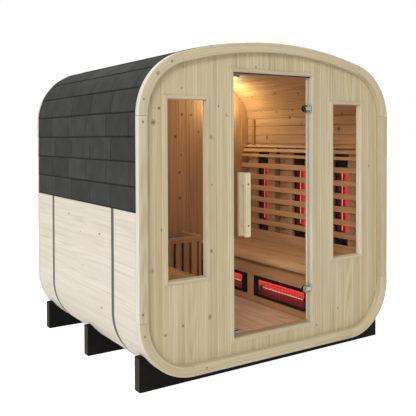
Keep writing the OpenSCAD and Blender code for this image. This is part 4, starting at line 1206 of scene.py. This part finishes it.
stoneSet = np.random.default_rng(11)
lumps = []
for layer, (z, count) in enumerate(((zTop - 0.036, 4), (zTop - 0.002, 4), (zTop + 0.018, 3))):
    for i in range(6 - layer // 2):
        for j in range(count):
            wx = (sx - 0.034 - layer * 0.012) * 2
            wy = stove["depth"] - 0.070 - layer * 0.016
            x = -wx / 2 + wx * i / (5 - layer // 2) + float(stoneSet.uniform(-0.006, 0.006))
            y = sy + stove["depth"] / 2 - wy / 2 + wy * j / (count - 1) + float(stoneSet.uniform(-0.006, 0.006))
            size = stoneSet.uniform(0.040, 0.056, 3)
            lumps.append(stone((x, y, z), (size[0], size[1], size[2] * 0.8), stoneSet))
stoneMade, tree, surface = material("oliveStone", Roughness=0.85)
place = add(tree, "ShaderNodeTexCoord").outputs["Object"]
speck = add(tree, "ShaderNodeTexNoise",
            {"Vector": place, "Scale": 90.0, "Detail": 5.0, "Roughness": 0.7}).outputs["Fac"]
tree.links.new(ramp(tree, speck, [(0.3, linear("3A3835")), (0.55, linear("6B6862")), (0.75, linear("98938A"))]),
               surface.inputs["Base Color"])
tree.links.new(add(tree, "ShaderNodeBump", {"Height": speck, "Strength": 0.5, "Distance": 0.002}).outputs["Normal"],
               surface.inputs["Normal"])
addPiece("heaterStones", "cabin", lumps, stoneMade, ["heater_stones"])
print("heater made")


lamp = {"x": 0.650, "z": 1.845}
addPiece("lampPlate", "cabin",
         [lathe((lamp["x"], roomBack, lamp["z"]), "y", [(0.056, -0.022), (0.062, -0.018), (0.062, -0.0003)], 64)],
         handleWood, ["wall_lamp"])
addPiece("lampShade", "cabin",
         [lathe((lamp["x"], roomBack, lamp["z"]), "y",
                [(0.012, -0.0795), (0.030, -0.0775), (0.043, -0.071), (0.0495, -0.058), (0.050, -0.040),
                 (0.047, -0.0225)], 64)], lampGlow)
addPiece("cableStrip", "cabin",
         [bar((sideFace - 0.012, 0.685, rest["top"] + 0.001), (sideFace - 0.003, 0.725, 1.690), "z", 2 * mm, 400)],
         stripWood, ["cable_strip"])


leaf = {"left": left + 0.006, "right": right - 0.010, "low": door["sill"] + 0.005,
        "high": door["sill"] + door["height"] - 0.008}
glassFront = frameFront + door["recess"]
glassBack = glassFront + door["glass"]
addSheet("doorGlass", "door", (leaf["left"], glassFront, leaf["low"]), (leaf["right"], glassBack, leaf["high"]),
         "door_glass")

# a dark rubber seal along the glass's top edge, under the head; its dark draws the shade under the head: painted
# shade
addPiece("headSealPaintedShade", "cabin",
         [bar((left + 0.001, glassFront, leaf["high"] + 0.0006),
              (right - 0.001, glassBack, door["sill"] + door["height"] - 0.0002), "x", 1 * mm)], headShadeRubber)

hinge = {"x": right - 0.010, "y": frameFront + 0.006, "zs": (0.457, 1.717), "disc": 0.024, "knuckle": 0.007,
         "high": 0.025,
         "end": 0.012, "off": 0.036, "plate": 0.020}
fixed, moving, discs, screws, plateScrews = [], [], [], [], []
hx, hy, h, r = hinge["x"], hinge["y"], hinge["high"], hinge["knuckle"]
cx = hx - hinge["off"]


def knuckle(z0, length):
    # A barrel on the hinge's axis with eased ends.
    return lathe((hx, hy, z0), "z", [(r - 0.0008, 0), (r, 0.0008), (r, length - 0.0008), (r - 0.0008, length)], 40)


for z in hinge["zs"]:
    R = hinge["disc"]
    discs.append(lathe((cx, glassFront, z), "y",
                       [(R, -0.0002), (R, -0.0074), (R - 0.0012, -0.0087), (0.012, -0.0090)], 64))
    moving.append(lathe((cx, glassBack, z), "y",
                        [(R - 0.002, 0.0002), (R - 0.002, 0.0062), (R - 0.0034, 0.0080), (0.011, 0.0080)], 64))
    screws.append(lathe((cx, glassFront, z), "y", [(0.0055, -0.0085), (0.0055, -0.0096), (0.0045, -0.0102)], 32))
    moving.append(knuckle(z - h / 2, h))
    # arm from the disc to the knuckle, tapered in plan, with eased upper and lower edges
    arm = np.array([[cx, glassFront - 0.003], [cx, glassFront - 0.009], [hx - 0.003, hy - 0.006],
                    [hx - 0.002, hy + 0.006], [cx + 0.016, glassFront - 0.003]])
    mid = arm.mean(axis=0)
    levels = ((-h / 2 + 0.0004, 0.94), (-h / 2 + 0.0014, 1), (h / 2 - 0.0014, 1), (h / 2 - 0.0004, 0.94))
    points = np.concatenate([np.insert(mid + (arm - mid) * tight, 2, z + up, axis=1) for up, tight in levels])
    faces = outward(points, gridFaces(4, 5) + caps(4, 5))
    moving.append((points, faces, points.copy()))
    for z0 in (z + h / 2 + 0.0005, z - h / 2 - hinge["end"] - 0.0005):
        fixed.append(knuckle(z0, hinge["end"]))
        fixed.append(bar((hx, hy - 0.004, z0 + 0.0002), (right - 0.001, hy + 0.004, z0 + hinge["end"] - 0.0002), "x",
                         0.6 * mm))
    reach = h / 2 + hinge["end"] + 0.0005
    fixed.append(bar((right - 0.002, frameFront + 0.001, z - reach),
                     (right - 0.0001, frameFront + 0.001 + hinge["plate"], z + reach), "z", 0.6 * mm))
    for up in (-0.016, 0.016):
        plateScrews.append(lathe((right - 0.002, frameFront + 0.0165, z + up), "x",
                                 [(0.0032, 0.0002), (0.0032, -0.0002), (0.0024, -0.0006)], 24))
addPiece("hingeClamps", "door", moving, hingeSteel, ["hinge_clamps"])
addPiece("hingeDisc_lower", "door", discs[:1], satinSteel)
addPiece("hingeDisc_upper", "door", discs[1:], blackMetal)
addPiece("hingeScrews", "door", screws, blackMetal)
addPiece("hingeBrackets", "cabin", fixed, hingeSteel, ["hinge_brackets"])
addPiece("bracketScrews", "cabin", plateScrews, blackMetal)

# catches: a pale block in a dark rubber seat, one under the head and one on the sill
catch = {"wide": 0.060, "deep": 0.014, "highUp": 0.012, "highDown": 0.024, "edge": 0.0025}
headZ = door["sill"] + door["height"]
x0 = left + door["stop"]
seats, blocks = [], []
for z0, z1 in ((headZ - door["stop"] - catch["highUp"], headZ - door["stop"] - 0.0002),
               (door["sill"] + door["stop"] + 0.0002, door["sill"] + door["stop"] + catch["highDown"])):
    e = catch["edge"]
    seats.append(bar((x0 + 0.0002, stopFront + 0.0008, z0), (x0 + catch["wide"], stopFront + catch["deep"], z1), "x",
                     1.5 * mm))
    blocks.append(bar((x0 + e, stopFront, z0 + e), (x0 + catch["wide"] - e, stopFront + 0.004, z1 - e), "x", 1 * mm))
addPiece("doorCatchSeats", "cabin", seats, blackRubber, ["door_catches"])
addPiece("doorCatches", "cabin", blocks, catchPlastic)

handle = {"x": left + 0.100, "width": 0.038, "thick": 0.027, "length": 0.419, "low": 0.870, "gap": 0.017,
          "end": 0.075, "spacer": 0.011}
boltZs = (handle["low"] + handle["end"], handle["low"] + handle["length"] - handle["end"])
for into, name in ((-1, "outer"), (1, "inner")):
    face = glassFront if into < 0 else glassBack
    a, b = sorted((face + into * handle["gap"], face + into * (handle["gap"] + handle["thick"])))
    parts = [bar((handle["x"] - handle["width"] / 2, a, handle["low"]),
                 (handle["x"] + handle["width"] / 2, b, handle["low"] + handle["length"]), "z", 3 * mm, 410 + into,
                 steps=3)]
    for z in boltZs:
        c, d = sorted((face + into * 0.0002, face + into * (handle["gap"] + 0.0005)))
        parts.append(rod((handle["x"], c, z), (handle["x"], d, z), handle["spacer"], 32, 412))
    addPiece("handle_" + name, "door", parts, handleWood, ["handle_" + name])
bolts = []
for z in boltZs:
    for face, into in ((glassFront - handle["gap"] - handle["thick"], 1),
                       (glassBack + handle["gap"] + handle["thick"], -1)):
        bolts.append(lathe((handle["x"], face, z), "y",
                           [(0.0058, into * 0.004), (0.0058, -into * 0.0002), (0.0046, -into * 0.0009)], 32))
addPiece("handleBolts", "door", bolts, blackMetal)
print("door made")


def seenDirectly(tree):
    # 1 for rays from the camera, from a mirror or through glass, and 0 for rays that light a surface.
    rays = add(tree, "ShaderNodeLightPath").outputs
    seen = rays["Is Camera Ray"]
    for other in ("Is Glossy Ray", "Is Transmission Ray"):
        seen = add(tree, "ShaderNodeMath", {0: seen, 1: rays[other]}, operation="MAXIMUM").outputs[0]
    return seen


ground = bpy.data.meshes.new("studioFloor")
reach = 40.0
ground.from_pydata([(-reach, -reach, 0), (reach, -reach, 0), (reach, reach, 0), (-reach, reach, 0)], [],
                   [(0, 1, 2, 3)])
studio = placed("studioFloor", ground)
floorMade, tree, surface = material("palePaper", **{"Base Color": (0.90, 0.90, 0.90, 1.0), "Roughness": 0.9})
surface.inputs["Specular IOR Level"].default_value = 0.1
veil = add(tree, "ShaderNodeMath", {0: seenDirectly(tree), 1: 0.75}, operation="MULTIPLY").outputs[0]
surface.inputs["Emission Color"].default_value = (1, 1, 1, 1)
tree.links.new(veil, surface.inputs["Emission Strength"])
ground.materials.append(floorMade)

world = bpy.data.worlds.new("paleStudio")
bpy.context.scene.world = world
world.use_nodes = True
tree = world.node_tree
tree.nodes.clear()
level = add(tree, "ShaderNodeMapRange",
            {"Value": seenDirectly(tree), "To Min": 0.45, "To Max": 1.0}).outputs["Result"]
sky = add(tree, "ShaderNodeBackground", {"Color": (1, 1, 1, 1), "Strength": level})
add(tree, "ShaderNodeOutputWorld", {"Surface": sky.outputs["Background"]})


def areaLight(name, place, target, size, power, colour=(1, 1, 1)):
    # A square lamp at a place that faces a target; size in metres, power in watts.
    made = bpy.data.lights.new(name, "AREA")
    made.shape, made.size, made.energy, made.color = "SQUARE", size, power, colour
    light = placed(name, made)
    light.location = place
    away = np.array(place) - np.array(target)
    light.rotation_euler = (math.acos(away[2] / np.linalg.norm(away)), 0, math.atan2(away[1], away[0]) + math.pi / 2)
    return light


areaLight("keyLeft", (-12.0, 0.4, 5.0), (-1.0, 0, 1.2), 5.0, 260)
areaLight("keyFront", (-12.0, -12.5, 8.5), (0, -0.8, 1.1), 5.5, 1380)
areaLight("overhead", (0, 0, 6.5), (0, 0, 0), 4.0, 130)

for fill in (areaLight("roomFill", (0, 0, 2.04), (0, 0, 0), 1.2, 0.8),
             areaLight("sideFill", (-0.65, 0.45, 1.45), (0.95, -0.45, 1.50), 0.5, 6.4),
             areaLight("doorFill", (0.02, -0.52, 1.00), (0.60, -0.22, 0.25), 0.4, 2.1, (0.74, 0.91, 1.0))):
    fill.visible_camera = fill.visible_glossy = False

glow = bpy.data.lights.new("lampGlow", "POINT")
glow.energy, glow.color, glow.shadow_soft_size = 7.6, (0.95, 1.0, 0.68), 0.05
glowObject = placed("lampGlow", glow)
glowObject.location = (lamp["x"] + 0.01, roomBack - 0.130, lamp["z"])

view = bpy.data.cameras.new("camera")
view.sensor_width, view.lens = 36.0, 55.37
view.shift_y = -0.1439
view.clip_end = 200
camera = placed("camera", view)
camera.location = (-2.73863, -4.18918, 1.52191)
yaw, pitch, roll = math.radians(33.31), math.radians(1.0), math.radians(-0.22)
turn = Matrix.Rotation(-yaw, 4, "Z") @ Matrix.Rotation(math.pi / 2 - pitch, 4, "X") @ Matrix.Rotation(roll, 4, "Z")
camera.rotation_mode = "XYZ"
camera.rotation_euler = turn.to_euler("XYZ")
bpy.context.scene.camera = camera
bpy.context.scene.view_settings.view_transform = "Standard"
